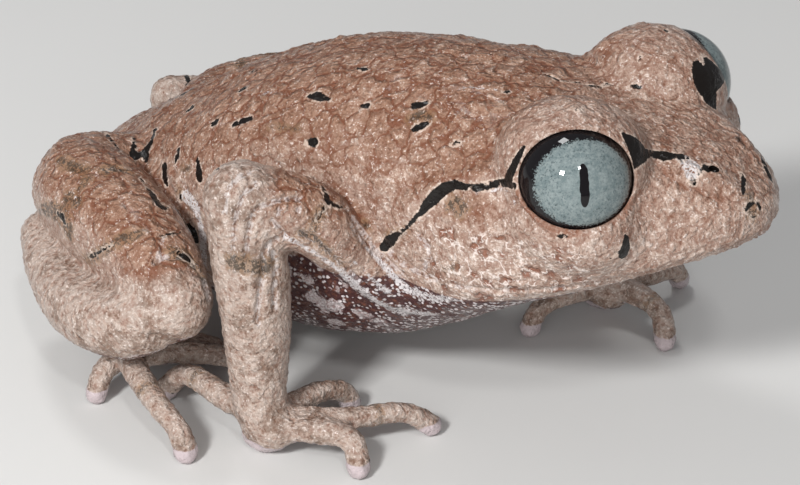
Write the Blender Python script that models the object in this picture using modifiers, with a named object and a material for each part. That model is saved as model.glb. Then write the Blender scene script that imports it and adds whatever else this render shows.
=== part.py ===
"""A leptobrachium frog, life size, standing in a slow walk with its head raised.

The body is modelled whole, in millimetres, nose along +X, its left side at +Y and the floor at Z 0.
It is then parted by thin cuts into its named nodes, and moved so that the origin is
the centre of the model's box at floor level.
"""

import math

import bmesh
import bpy
import numpy as np
from mathutils import Matrix, Vector
from mathutils.bvhtree import BVHTree

MM = 0.001
PART_GAP = 0.3  # the gap that parted nodes keep
WELD = 1e-4  # vertices nearer than this are one

# How finely the round pieces are divided
BALL_SEGMENTS, BALL_RINGS = 20, 12
LIMB_ROUNDNESS = 3
LIMB_SAMPLES = 5
DISC_SIDES = 32
RIM_STEPS = 24
MOUTH_STEPS = 16

# Skin surface: a voxel shell, smoothed and thinned
VOXEL = 0.42
SMOOTH_PASSES = 4
SMOOTH_FACTOR = 0.5
SKIN_TRIANGLES = 9000

# Head and trunk stations, nose to vent:
# x, half width, height of the widest line, top, bottom, squareness above, squareness below
TRUNK = (
    (30.5, 1.4, 22.9, 23.9, 21.7, 2.0, 2.0),
    (29.6, 3.6, 22.7, 24.9, 20.9, 2.0, 2.1),
    (27.5, 6.1, 22.3, 26.4, 19.9, 2.1, 2.2),
    (25.0, 8.4, 21.7, 27.7, 18.7, 2.2, 2.2),
    (21.0, 11.0, 20.8, 28.8, 16.8, 2.3, 2.3),
    (16.0, 12.9, 19.8, 29.3, 14.3, 2.3, 2.3),
    (11.0, 13.6, 19.0, 29.7, 11.2, 2.2, 2.3),
    (6.0, 12.8, 18.2, 29.9, 7.4, 2.1, 2.2),
    (0.0, 12.2, 17.3, 29.6, 4.0, 2.1, 2.2),
    (-6.0, 12.6, 16.0, 28.5, 2.5, 2.1, 2.3),
    (-12.0, 12.8, 14.4, 26.4, 2.3, 2.1, 2.3),
    (-18.0, 11.6, 13.0, 23.5, 2.9, 2.1, 2.2),
    (-24.0, 9.6, 11.8, 19.8, 4.2, 2.0, 2.0),
    (-29.0, 7.2, 11.2, 16.4, 6.0, 2.0, 2.0),
    (-32.5, 4.3, 10.8, 13.9, 8.0, 2.0, 2.0),
    (-34.3, 1.4, 10.7, 12.0, 9.6, 2.0, 2.0),
)
STATION_STEP = 1.1
RING_POINTS = 40

# Eyes and lids
EYE_CENTRE = (17.7, 9.38, 26.9)
EYE_RADIUS = 4.5
EYE_TURN = 58.0  # degrees from straight ahead
EYE_LIFT = 26.0  # degrees above level
DOME_RADII = (6.3, 5.7, 5.4)
DOME_SHIFT = (-1.1, -2.08, 0.0)  # from the ball to the left lids' dome
LID_ROUND = 0.62  # the rim's own radius
LID_CLEAR = 0.33  # from the ball's surface to the middle of the rim
OPENING_WIDE, OPENING_HIGH = 4.4, 3.75  # half width and half height between the lids
OPENING_RAISE = 0.2  # the opening's middle above the ball's, across the way that it faces
OPENING_EDGE = 0.4  # from the opening's edge to the middle of the rim
OPENING_START, OPENING_DEPTH = 0.3, 6.0  # where the opening begins, from the ball's middle, and its length
OPENING_SIDES = 36
CHEEK = (17.6, 8.8, 23.4)  # middle of the swelling that carries the lower lid
CHEEK_RADII = (6.2, 5.2, 4.4)

# Mouth: a slit that follows the jaw under its widest line, by so much at its corners and in front
MOUTH_DROP_BACK, MOUTH_DROP_FRONT = 2.0, 1.1
MOUTH_CORNER_X = 9.5
MOUTH_HEIGHT = 0.36
MOUTH_DEPTH = 1.1

# Nostrils
NOSTRIL = (26.5, 3.1, 26.9)
NOSTRIL_RADIUS = 0.5
NOSTRIL_RIM = 0.95
NOSTRIL_FACES = (0.27, 0.54, 0.66)  # the way the left one opens

# Skin ridges on each side of the head, as (x, z) along its surface, and their radii
FOLD = ((13.8, 27.8), (12.2, 26.2), (9.7, 25.1), (6.8, 23.8), (4.6, 20.9), (2.9, 18.6))
FOLD_RADIUS = 0.75
CANTHUS = ((22.2, 28.0), (24.4, 27.2), (26.4, 26.4))
CANTHUS_RADIUS = 0.8

# Looks of the plain model
SKIN_COLOUR = (0.31, 0.21, 0.17)
DIGIT_COLOUR = (0.38, 0.26, 0.20)
EYE_COLOUR = (0.23, 0.33, 0.34)
SKIN_ROUGHNESS = 0.55
EYE_ROUGHNESS = 0.08
SHARP_ANGLE = 50.0

# Direction of the rays that tell inside from outside, along no axis of the model, and
# how far they start again past each surface
PROBE = Vector((0.31, 0.57, 0.76)).normalized()
PROBE_STEP = 1e-3

# Where the nodes part: centre, direction across the cut and radius
NECK_CUT = ((6.0, 0.0, 19.0), (1.0, 0.0, 0.0), 14.8)
LIMB_CUTS = {
    "right": {
        "shoulder": ((-2.5, -14.8, 19.7), (-0.5, -0.54, 0.68), 4.4),
        "wrist": ((-5.4, -19.3, 5.6), (0.0, 0.0, 1.0), 3.2),
        "hip": ((-25.0, -8.8, 12.0), (-0.41, -0.91, 0.1), 9.6),
        "instep": ((-20.9, -16.5, 2.8), (1.0, -0.25, 0.0), 2.9),
    },
    "left": {
        "shoulder": ((1.5, 13.3, 14.2), (0.0, 1.0, 0.0), 6.0),
        "wrist": ((8.8, 15.2, 5.4), (0.35, -0.25, -0.9), 3.2),
        "hip": ((-25.0, 8.8, 11.6), (-0.41, 0.91, 0.1), 9.6),
        "instep": ((-27.6, 16.6, 2.9), (1.0, 0.4, 0.0), 2.7),
    },
}
# Pairs of limb pieces parted at the bend between them, with the cut's radius
FOLD_CUTS = {
    "right": (("upper_arm", "forearm", 6.4), ("thigh", "shank", 13.0), ("shank", "tarsus", 6.0)),
    "left": (("upper_arm", "forearm", 6.4), ("thigh", "shank", 8.6), ("shank", "tarsus", 6.0)),
}
CUT_MARGIN = 1.0  # how far such a cut passes the skin outside the bend

FLOOR_CUTTER = 120.0  # side of the block that makes the flats


def clear_scene():
    for obj in list(bpy.data.objects):
        bpy.data.objects.remove(obj, do_unlink=True)


def new_collection(name):
    collection = bpy.data.collections.new(name)
    bpy.context.scene.collection.children.link(collection)
    return collection


def mesh_object(name, bm, collection):
    """A mesh object from a bmesh in millimetres."""
    bmesh.ops.remove_doubles(bm, verts=bm.verts, dist=WELD)
    bmesh.ops.recalc_face_normals(bm, faces=bm.faces)
    mesh = bpy.data.meshes.new(name)
    bm.to_mesh(mesh)
    bm.free()
    obj = bpy.data.objects.new(name, mesh)
    collection.objects.link(obj)
    return obj


def smooth_values(keys, rows, at):
    """Monotone cubic interpolation of each column of rows over keys, read at a value."""
    keys = np.asarray(keys, float)
    rows = np.asarray(rows, float)
    if keys[0] > keys[-1]:
        keys, rows = keys[::-1], rows[::-1]
    slope = np.diff(rows, axis=0) / np.diff(keys)[:, None]
    tangent = np.zeros_like(rows)
    tangent[0], tangent[-1] = slope[0], slope[-1]
    inner = (slope[:-1] + slope[1:]) / 2
    tangent[1:-1] = np.where(slope[:-1] * slope[1:] > 0, inner, 0.0)
    i = int(np.clip(np.searchsorted(keys, at) - 1, 0, len(keys) - 2))
    span = keys[i + 1] - keys[i]
    t = (at - keys[i]) / span
    a = 2 * t**3 - 3 * t**2 + 1
    b = t**3 - 2 * t**2 + t
    c = -2 * t**3 + 3 * t**2
    d = t**3 - t**2
    return a * rows[i] + b * span * tangent[i] + c * rows[i + 1] + d * span * tangent[i + 1]


def signed_power(value, power):
    return math.copysign(abs(value) ** power, value)


def trunk_section(x):
    """Half width, height of the widest line, top, bottom and both squarenesses at x."""
    keys = [row[0] for row in TRUNK]
    rows = [row[1:] for row in TRUNK]
    return smooth_values(keys, rows, x)


def trunk_ring(x):
    """One cross section of head or trunk, as points round it from the top."""
    wide, side_z, top_z, low_z, square_up, square_down = trunk_section(x)
    ring = []
    for i in range(RING_POINTS):
        angle = 2 * math.pi * i / RING_POINTS
        upper = math.cos(angle) >= 0
        power = 2 / (square_up if upper else square_down)
        height = top_z - side_z if upper else side_z - low_z
        y = wide * signed_power(math.sin(angle), power)
        z = side_z + height * signed_power(math.cos(angle), power)
        ring.append(Vector((x, y, z)))
    return ring


def on_side(x, z, side):
    """The point of the trunk's surface at x and height z; side is 1 for left, -1 for right."""
    wide, side_z, top_z, low_z, square_up, square_down = trunk_section(x)
    height, square = (top_z - side_z, square_up) if z >= side_z else (side_z - low_z, square_down)
    share = min(abs(z - side_z) / height, 1.0)
    return Vector((x, side * wide * (1 - share**square) ** (1 / square), z))


def loft(rings):
    """A closed bmesh through rings of equal count, its ends filled."""
    bm = bmesh.new()
    loops = [[bm.verts.new(p) for p in ring] for ring in rings]
    count = len(rings[0])
    for a, b in zip(loops, loops[1:]):
        for i in range(count):
            j = (i + 1) % count
            bm.faces.new((a[i], a[j], b[j], b[i]))
    bm.faces.new(loops[0])
    bm.faces.new(loops[-1])
    return bm


def add_trunk(collection):
    first, last = TRUNK[0][0], TRUNK[-1][0]
    steps = math.ceil((first - last) / STATION_STEP)
    rings = [trunk_ring(first + (last - first) * i / steps) for i in range(steps + 1)]
    mesh_object("trunk", loft(rings), collection)


def add_ball(name, centre, radii, collection, turn=None):
    """An ellipsoid; turn is an optional rotation matrix."""
    bm = bmesh.new()
    bmesh.ops.create_uvsphere(bm, u_segments=BALL_SEGMENTS, v_segments=BALL_RINGS, radius=1.0)
    matrix = Matrix.Translation(centre) @ (turn or Matrix()).to_4x4()
    matrix = matrix @ Matrix.Diagonal((*radii, 1.0))
    bmesh.ops.transform(bm, matrix=matrix, verts=bm.verts)
    return mesh_object(name, bm, collection)


def spline_points(points, samples):
    """Points of a Catmull-Rom curve; each given point may carry a radius as a fourth value."""
    rows = [np.asarray(p, float) for p in points]
    rows = [2 * rows[0] - rows[1], *rows, 2 * rows[-1] - rows[-2]]
    found = []
    for p0, p1, p2, p3 in zip(rows, rows[1:], rows[2:], rows[3:]):
        for i in range(samples):
            t = i / samples
            found.append(
                0.5
                * (
                    2 * p1
                    + (p2 - p0) * t
                    + (2 * p0 - 5 * p1 + 4 * p2 - p3) * t**2
                    + (3 * p1 - p0 - 3 * p2 + p3) * t**3
                )
            )
    found.append(rows[-2])
    return found


def add_limb(name, stations, collection, samples=LIMB_SAMPLES):
    """A round limb through (x, y, z, radius) stations, with rounded ends."""
    path = spline_points(stations, samples)
    curve = bpy.data.curves.new(name, "CURVE")
    curve.dimensions = "3D"
    curve.bevel_depth = 1.0
    curve.bevel_resolution = LIMB_ROUNDNESS
    curve.use_fill_caps = True
    spline = curve.splines.new("POLY")
    spline.points.add(len(path) - 1)
    for target, (x, y, z, radius) in zip(spline.points, path):
        target.co = (x, y, z, 1.0)
        target.radius = radius
    guide = bpy.data.objects.new(name + "_guide", curve)
    collection.objects.link(guide)
    graph = bpy.context.evaluated_depsgraph_get()
    mesh = bpy.data.meshes.new_from_object(guide.evaluated_get(graph))
    bpy.data.objects.remove(guide)
    bm = bmesh.new()
    bm.from_mesh(mesh)
    mesh_object(name, bm, collection)
    for end, (x, y, z, radius) in (("start", path[0]), ("end", path[-1])):
        add_ball(f"{name}_{end}", Vector((x, y, z)), (radius, radius, radius), collection)


def to_side(place, side):
    """A place given for the left side, on the side asked for."""
    x, y, z = place
    return Vector((x, side * y, z))


def eye_axis(side):
    turn, lift = math.radians(EYE_TURN), math.radians(EYE_LIFT)
    level = math.cos(lift)
    return Vector((math.cos(turn) * level, side * math.sin(turn) * level, math.sin(lift)))


def aimed(axis):
    """Rotation that turns +Z to the axis and keeps +Y as near upright as it can."""
    return Vector(axis).to_track_quat("Z", "Y").to_matrix()


def add_lids(side, collection):
    """The dome over the ball, the cheek under it and the rim of its opening, close round the ball."""
    centre = to_side(EYE_CENTRE, side)
    turn = aimed(eye_axis(side))
    add_ball(f"dome{side}", centre + to_side(DOME_SHIFT, side), DOME_RADII, collection)
    add_ball(f"cheek{side}", to_side(CHEEK, side), CHEEK_RADII, collection)
    reach = EYE_RADIUS + LID_CLEAR
    rim = []
    for i in range(RIM_STEPS + 1):
        angle = 2 * math.pi * i / RIM_STEPS
        across = (OPENING_WIDE + OPENING_EDGE) * math.cos(angle)
        up = (OPENING_HIGH + OPENING_EDGE) * math.sin(angle) + OPENING_RAISE
        ahead = math.sqrt(max(reach**2 - across**2 - up**2, 0.0))
        rim.append((*(centre + turn @ Vector((across, up, ahead))), LID_ROUND))
    add_limb(f"rim{side}", rim, collection, samples=1)


def add_ridges(side, collection):
    """The fold from eye to shoulder, the canthus, the lips and the nostril's rim."""
    fold = [(*on_side(x, z, side), FOLD_RADIUS) for x, z in FOLD]
    add_limb(f"fold{side}", fold, collection, samples=4)
    canthus = [(*on_side(x, z, side), CANTHUS_RADIUS) for x, z in CANTHUS]
    add_limb(f"canthus{side}", canthus, collection, samples=3)
    add_ball(f"nostril_rim{side}", to_side(NOSTRIL, side), (NOSTRIL_RIM,) * 3, collection)


# Each limb is a list of (x, y, z, radius) stations along its bones; the right side is y < 0
RIGHT_LIMBS = {
    "upper_arm": (
        (1.8, -10.0, 13.4, 2.5),
        (-0.8, -13.0, 17.4, 2.6),
        (-3.2, -15.4, 20.7, 2.9),
        (-7.3, -18.2, 22.5, 3.1),
    ),
    "forearm": (
        (-7.3, -18.2, 22.5, 3.1),
        (-6.6, -18.5, 17.5, 3.15),
        (-5.9, -18.7, 12.0, 2.95),
        (-5.6, -19.2, 6.2, 2.4),
    ),
    "palm": (
        (-5.6, -19.3, 5.4, 2.3),
        (-4.9, -19.5, 3.4, 2.2),
        (-4.0, -19.6, 2.4, 2.1),
    ),
    "thigh": (
        (-26.0, -5.0, 11.8, 4.8),
        (-29.0, -10.4, 13.8, 4.5),
        (-24.4, -13.8, 14.2, 4.7),
        (-19.0, -16.6, 14.0, 4.4),
        (-14.8, -19.0, 13.2, 3.6),
        (-12.6, -20.2, 12.4, 3.0),
    ),
    "shank": (
        (-12.6, -20.4, 12.0, 3.0),
        (-16.8, -21.8, 9.7, 3.1),
        (-22.6, -20.2, 8.6, 3.0),
        (-28.2, -16.6, 8.8, 2.5),
        (-31.4, -13.7, 9.6, 2.1),
    ),
    "tarsus": (
        (-31.4, -13.6, 9.0, 2.0),
        (-28.4, -14.2, 5.2, 1.8),
        (-24.2, -15.4, 3.2, 1.7),
        (-20.2, -16.6, 2.7, 1.9),
    ),
}
LEFT_LIMBS = {
    "upper_arm": (
        (2.8, 8.0, 12.6, 4.6),
        (1.4, 13.2, 14.2, 3.8),
        (0.2, 17.6, 14.8, 2.9),
        (-0.6, 20.4, 15.0, 2.7),
    ),
    "forearm": (
        (-0.6, 20.4, 15.0, 2.9),
        (2.8, 19.4, 12.2, 3.0),
        (6.2, 17.4, 8.8, 2.8),
        (8.8, 15.3, 5.8, 2.3),
    ),
    "palm": (
        (8.8, 15.2, 5.4, 2.2),
        (9.6, 14.4, 3.4, 2.2),
        (10.6, 13.8, 2.4, 2.1),
    ),
    "thigh": (
        (-26.0, 5.0, 11.4, 4.8),
        (-28.0, 10.0, 11.6, 4.5),
        (-24.6, 13.8, 12.2, 4.6),
        (-20.2, 17.2, 12.2, 4.2),
        (-17.0, 19.8, 11.8, 3.5),
        (-15.4, 21.0, 11.0, 3.0),
    ),
    "shank": (
        (-15.4, 21.2, 10.6, 3.0),
        (-19.6, 23.6, 7.8, 3.1),
        (-26.2, 22.4, 7.4, 2.9),
        (-33.0, 17.4, 8.4, 2.4),
        (-36.8, 13.8, 9.4, 2.1),
    ),
    "tarsus": (
        (-36.8, 13.7, 8.8, 2.0),
        (-33.6, 14.4, 5.0, 1.8),
        (-29.4, 16.0, 3.0, 1.7),
        (-25.4, 17.4, 2.7, 1.9),
    ),
}
# Digits, inner to outer, in the same way: root, knuckles, tip
RIGHT_HAND = (
    ((-4.4, -18.2, 2.6, 1.15), (-3.2, -14.6, 2.9, 1.0), (-1.9, -12.2, 2.3, 0.95), (-1.5, -11.4, 0.8, 1.05)),
    ((-2.9, -18.6, 2.8, 1.2), (1.2, -16.2, 2.9, 1.05), (4.5, -12.8, 2.6, 0.95), (6.2, -11.0, 0.8, 1.05)),
    ((-2.6, -19.6, 2.6, 1.2), (0.6, -18.8, 2.9, 1.1), (2.9, -18.3, 2.6, 1.0), (4.0, -19.2, 0.8, 1.1)),
    ((-5.6, -19.8, 2.8, 1.2), (-10.2, -18.7, 3.2, 1.15), (-14.0, -17.7, 3.1, 1.0), (-16.2, -18.0, 0.8, 1.05)),
)
LEFT_HAND = (
    ((9.8, 12.8, 2.6, 1.15), (8.0, 9.4, 3.0, 1.0), (6.8, 7.4, 2.4, 0.95), (6.4, 6.5, 0.8, 1.05)),
    ((11.4, 13.4, 2.8, 1.2), (14.4, 12.8, 3.1, 1.1), (16.8, 11.6, 2.7, 1.0), (17.7, 10.6, 0.8, 1.1)),
    ((11.2, 14.4, 2.6, 1.2), (13.2, 17.0, 2.9, 1.1), (14.4, 19.4, 2.4, 1.0), (14.6, 20.6, 0.8, 1.05)),
    ((9.8, 14.8, 2.8, 1.2), (8.4, 18.0, 3.0, 1.1), (7.4, 20.6, 2.4, 1.0), (7.0, 21.8, 0.8, 1.05)),
)
RIGHT_FOOT = (
    ((-20.0, -15.4, 2.5, 1.1), (-18.4, -12.8, 2.5, 0.95), (-17.4, -11.4, 0.75, 0.95)),
    ((-18.8, -15.4, 2.7, 1.15), (-16.2, -12.6, 2.7, 1.0), (-14.2, -10.6, 0.75, 1.0)),
    (
        (-18.4, -16.0, 2.8, 1.2),
        (-14.6, -13.9, 2.8, 1.05),
        (-11.4, -12.9, 2.4, 0.95),
        (-10.2, -12.7, 0.8, 1.05),
    ),
    (
        (-19.6, -17.4, 3.4, 1.3),
        (-17.4, -20.4, 4.3, 1.2),
        (-13.4, -23.0, 3.7, 1.1),
        (-10.3, -24.2, 2.5, 1.0),
        (-9.5, -24.5, 0.8, 1.15),
    ),
    ((-20.4, -17.6, 2.6, 1.15), (-20.8, -20.0, 2.7, 1.0), (-20.9, -21.3, 0.8, 1.05)),
)
LEFT_FOOT = (
    ((-25.4, 16.2, 2.5, 1.1), (-23.8, 13.8, 2.5, 0.95), (-22.8, 12.4, 0.75, 0.95)),
    ((-24.2, 16.6, 2.7, 1.15), (-21.0, 14.6, 2.7, 1.0), (-18.6, 13.2, 0.75, 1.0)),
    ((-23.8, 17.4, 2.8, 1.2), (-19.6, 17.0, 2.8, 1.05), (-16.2, 16.8, 2.4, 0.95), (-15.0, 16.6, 0.8, 1.05)),
    (
        (-24.2, 18.2, 2.8, 1.35),
        (-20.6, 20.2, 2.9, 1.2),
        (-16.6, 21.8, 2.8, 1.1),
        (-13.2, 23.2, 2.3, 1.0),
        (-12.2, 23.6, 0.8, 1.15),
    ),
    ((-25.8, 18.6, 2.6, 1.15), (-26.2, 21.2, 2.5, 1.0), (-26.4, 23.0, 0.8, 1.05)),
)
# The cushion under each palm: its radii, and its centre above the floor
PALM_PAD = (2.2, 1.7, 1.5)
PALM_PAD_RISE = 1.2


def add_hand_or_foot(name, digits, collection):
    for number, stations in enumerate(digits, 1):
        add_limb(f"{name}{number}", stations, collection)


def add_palm_pad(name, palm, collection):
    """The cushion under the palm, which rests on the floor."""
    x, y, _, _ = palm[1]
    add_ball(name, Vector((x, y, PALM_PAD_RISE)), PALM_PAD, collection)


def evaluated_copy(obj, name, collection):
    """The object as its modifiers leave it, as a plain mesh object; the object is removed."""
    graph = bpy.context.evaluated_depsgraph_get()
    mesh = bpy.data.meshes.new_from_object(obj.evaluated_get(graph))
    bpy.data.objects.remove(obj, do_unlink=True)
    made = bpy.data.objects.new(name, mesh)
    collection.objects.link(made)
    return made


def fused(pieces, collection):
    """All pieces of a collection as one smooth closed skin."""
    first, *others = list(pieces.objects)
    rest = new_collection("others")
    for obj in others:
        pieces.objects.unlink(obj)
        rest.objects.link(obj)
    union = first.modifiers.new("union", "BOOLEAN")
    union.operation = "UNION"
    union.operand_type = "COLLECTION"
    union.collection = rest
    union.solver = "MANIFOLD"
    shell = first.modifiers.new("shell", "REMESH")
    shell.mode = "VOXEL"
    shell.voxel_size = VOXEL
    soften = first.modifiers.new("soften", "SMOOTH")
    soften.factor = SMOOTH_FACTOR
    soften.iterations = SMOOTH_PASSES
    skin = evaluated_copy(first, "skin", collection)
    for obj in list(rest.objects):
        bpy.data.objects.remove(obj, do_unlink=True)
    for empty in (rest, pieces):
        bpy.data.collections.remove(empty)
    skin.data.calc_loop_triangles()
    thin = skin.modifiers.new("thin", "DECIMATE")
    thin.ratio = SKIN_TRIANGLES / len(skin.data.loop_triangles)
    thin.use_collapse_triangulate = True
    return evaluated_copy(skin, "skin", collection)


def add_mouth_cutter(collection):
    """A thin ribbon along the jaw, from corner to corner round the snout."""
    front = TRUNK[0][0]
    side_path = []
    for i in range(MOUTH_STEPS + 1):
        # Stations crowd towards the front, where the jaw turns
        share = math.sin(math.pi / 2 * i / MOUTH_STEPS)
        x = MOUTH_CORNER_X + (front - MOUTH_CORNER_X) * share
        drop = MOUTH_DROP_BACK + (MOUTH_DROP_FRONT - MOUTH_DROP_BACK) * share
        side_path.append(on_side(x, trunk_section(x)[1] - drop, 1))
    path = side_path + [Vector((p.x, -p.y, p.z)) for p in reversed(side_path[:-1])]
    rings = []
    half = Vector((0, 0, MOUTH_HEIGHT / 2))
    for before, here, after in zip([path[0]] + path, path, path[1:] + [path[-1]]):
        along = (after - before).normalized()
        outward = Vector((-along.y, along.x, 0)).normalized() * -1
        inner, outer = here - outward * MOUTH_DEPTH, here + outward * MOUTH_DEPTH
        rings.append([inner - half, inner + half, outer + half, outer - half])
    return mesh_object("mouth_cutter", loft(rings), collection)


def add_disc(name, centre, normal, radius, collection):
    """A thin round cutter that parts two nodes."""
    bm = bmesh.new()
    bmesh.ops.create_cone(
        bm,
        cap_ends=True,
        segments=DISC_SIDES,
        radius1=radius,
        radius2=radius,
        depth=PART_GAP,
        matrix=Matrix.Translation(centre) @ aimed(normal).to_4x4(),
    )
    return mesh_object(name, bm, collection)


def direction(start, end):
    return (Vector(end[:3]) - Vector(start[:3])).normalized()


def add_fold_cut(name, upper, lower, reach, collection):
    """Parts two limb pieces at the bend between them, along the plane that halves its angle."""
    into = direction(upper[-2], upper[-1])
    out = direction(lower[0], lower[1])
    joint = (Vector(upper[-1][:3]) + Vector(lower[0][:3])) / 2
    inner = (out - into).normalized() * (reach - upper[-1][3] - CUT_MARGIN)
    add_disc(name, joint + inner, (into + out).normalized(), reach, collection)


def cut(skin, cutters):
    """Takes every cutter of a collection from the skin."""
    for cutter in cutters.objects:
        cutter.hide_render = True
        cutter.display_type = "WIRE"
        away = skin.modifiers.new(cutter.name, "BOOLEAN")
        away.operation = "DIFFERENCE"
        away.object = cutter
        away.solver = "MANIFOLD"


def loose_parts(obj):
    """The closed surfaces of a mesh, each as a bmesh of its own."""
    bm = bmesh.new()
    bm.from_mesh(obj.data)
    left = set(bm.verts)
    parts = []
    while left:
        seed = left.pop()
        island, queue = {seed}, [seed]
        while queue:
            for edge in queue.pop().link_edges:
                for vert in edge.verts:
                    if vert not in island:
                        island.add(vert)
                        queue.append(vert)
        left -= island
        part = bmesh.new()
        copies = {vert: part.verts.new(vert.co) for vert in island}
        for face in {face for vert in island for face in vert.link_faces}:
            part.faces.new([copies[vert] for vert in face.verts])
        part.normal_update()
        parts.append(part)
    bm.free()
    return parts


def holds(part, place):
    """Whether a closed bmesh has the place inside it, by how often a ray from there crosses it."""
    tree = BVHTree.FromBMesh(part)
    here, crossings = place, 0
    while True:
        hit, _, _, _ = tree.ray_cast(here, PROBE)
        if hit is None:
            return crossings % 2 == 1
        crossings += 1
        here = hit + PROBE * PROBE_STEP


def node_places():
    """A place inside each node that the skin is parted into."""
    places = {"head": Vector((18, 0, 20)), "torso": Vector((-6, 0, 15))}
    sides = (("right", RIGHT_LIMBS, RIGHT_FOOT), ("left", LEFT_LIMBS, LEFT_FOOT))
    for side, limbs, foot in sides:
        for name, stations in limbs.items():
            middle = stations[1] if name == "palm" else stations[len(stations) // 2]
            node = "hand" if name == "palm" else name
            places[f"{node}_{side}"] = Vector(middle[:3])
        places[f"foot_{side}"] = Vector(foot[2][0][:3])
    return places


def material(name, colour, roughness):
    made = bpy.data.materials.new(name)
    made.use_nodes = True
    shader = made.node_tree.nodes["Principled BSDF"]
    shader.inputs["Base Color"].default_value = (*colour, 1.0)
    shader.inputs["Roughness"].default_value = roughness
    shader.inputs["Metallic"].default_value = 0.0
    return made


def finish(obj, colour, roughness):
    obj.data.materials.clear()
    obj.data.materials.append(material(obj.name, colour, roughness))
    obj.data.shade_smooth()
    obj.data.set_sharp_from_angle(angle=math.radians(SHARP_ANGLE))


def to_own_frame(objects):
    """Scales the finished nodes to metres and puts the origin under the middle of their box."""
    corners = np.array([v.co for obj in objects for v in obj.data.vertices])
    low, high = corners.min(axis=0), corners.max(axis=0)
    shift = Vector((-(low[0] + high[0]) / 2, -(low[1] + high[1]) / 2, -low[2]))
    for obj in objects:
        obj.data.transform(Matrix.Scale(MM, 4) @ Matrix.Translation(shift))


def add_flesh(collection):
    add_trunk(collection)
    for side in (-1, 1):
        add_lids(side, collection)
        add_ridges(side, collection)
    sides = (
        ("right", RIGHT_LIMBS, RIGHT_HAND, RIGHT_FOOT),
        ("left", LEFT_LIMBS, LEFT_HAND, LEFT_FOOT),
    )
    for side, limbs, hand, foot in sides:
        for name, stations in limbs.items():
            add_limb(f"{side}_{name}", stations, collection)
        add_palm_pad(f"{side}_palm_pad", limbs["palm"], collection)
        add_hand_or_foot(f"{side}_finger", hand, collection)
        add_hand_or_foot(f"{side}_toe", foot, collection)


def add_head_cutters(collection):
    """Sockets and lid openings, nostrils and the line of the mouth."""
    for side in (-1, 1):
        centre = to_side(EYE_CENTRE, side)
        socket = EYE_RADIUS + PART_GAP
        add_ball(f"socket{side}", centre, (socket,) * 3, collection)
        bm = bmesh.new()
        bmesh.ops.create_cone(
            bm, cap_ends=True, segments=OPENING_SIDES, radius1=1, radius2=1, depth=OPENING_DEPTH
        )
        out = Matrix.Translation((0, OPENING_RAISE, OPENING_START + OPENING_DEPTH / 2))
        turned = Matrix.Translation(centre) @ aimed(eye_axis(side)).to_4x4() @ out
        oval = Matrix.Diagonal((OPENING_WIDE, OPENING_HIGH, 1, 1))
        bmesh.ops.transform(bm, matrix=turned @ oval, verts=bm.verts)
        mesh_object(f"opening{side}", bm, collection)
        opens = to_side(NOSTRIL, side) + to_side(NOSTRIL_FACES, side)
        add_ball(f"nostril{side}", opens, (NOSTRIL_RADIUS,) * 3, collection)
    add_mouth_cutter(collection)


def add_floor_cutter(collection):
    bm = bmesh.new()
    half = FLOOR_CUTTER / 2
    bmesh.ops.create_cube(bm, size=FLOOR_CUTTER, matrix=Matrix.Translation((0, 0, -half)))
    mesh_object("floor_cutter", bm, collection)


def add_part_cutters(collection):
    add_disc("neck_cut", *NECK_CUT, collection)
    for side, limbs in (("right", RIGHT_LIMBS), ("left", LEFT_LIMBS)):
        for name, place in LIMB_CUTS[side].items():
            add_disc(f"{side}_{name}_cut", *place, collection)
        for upper, lower, reach in FOLD_CUTS[side]:
            add_fold_cut(f"{side}_{lower}_cut", limbs[upper], limbs[lower], reach, collection)


def add_eyes(collection):
    for side, name in ((-1, "eye_right"), (1, "eye_left")):
        centre = to_side(EYE_CENTRE, side)
        obj = add_ball(name, centre, (EYE_RADIUS,) * 3, collection)
        finish(obj, EYE_COLOUR, EYE_ROUGHNESS)


def add_skin_nodes(skin, collection):
    """Each closed surface that the cuts leave, named by the place it holds; the largest is kept."""
    parts = loose_parts(skin)
    parts.sort(key=lambda part: part.calc_volume(), reverse=True)
    for name, place in node_places().items():
        found = [part for part in parts if holds(part, place)]
        obj = mesh_object(name, found[0].copy(), collection)
        pale = name.startswith(("hand", "foot"))
        finish(obj, DIGIT_COLOUR if pale else SKIN_COLOUR, SKIN_ROUGHNESS)
    for part in parts:
        part.free()
    bpy.data.objects.remove(skin)


def main():
    clear_scene()
    flesh = new_collection("flesh")
    frog = new_collection("leptobrachium")
    cutters = new_collection("cutters")
    add_flesh(flesh)
    skin = fused(flesh, frog)
    add_head_cutters(cutters)
    add_floor_cutter(cutters)
    add_part_cutters(cutters)
    cut(skin, cutters)
    add_skin_nodes(evaluated_copy(skin, "skin", frog), frog)
    for cutter in list(cutters.objects):
        bpy.data.objects.remove(cutter)
    bpy.data.collections.remove(cutters)
    add_eyes(frog)
    to_own_frame(list(frog.objects))


main()
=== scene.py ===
import itertools
import math

import bmesh
import bpy
import numpy as np
from mathutils import Matrix, Vector
from mathutils.bvhtree import BVHTree


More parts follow.
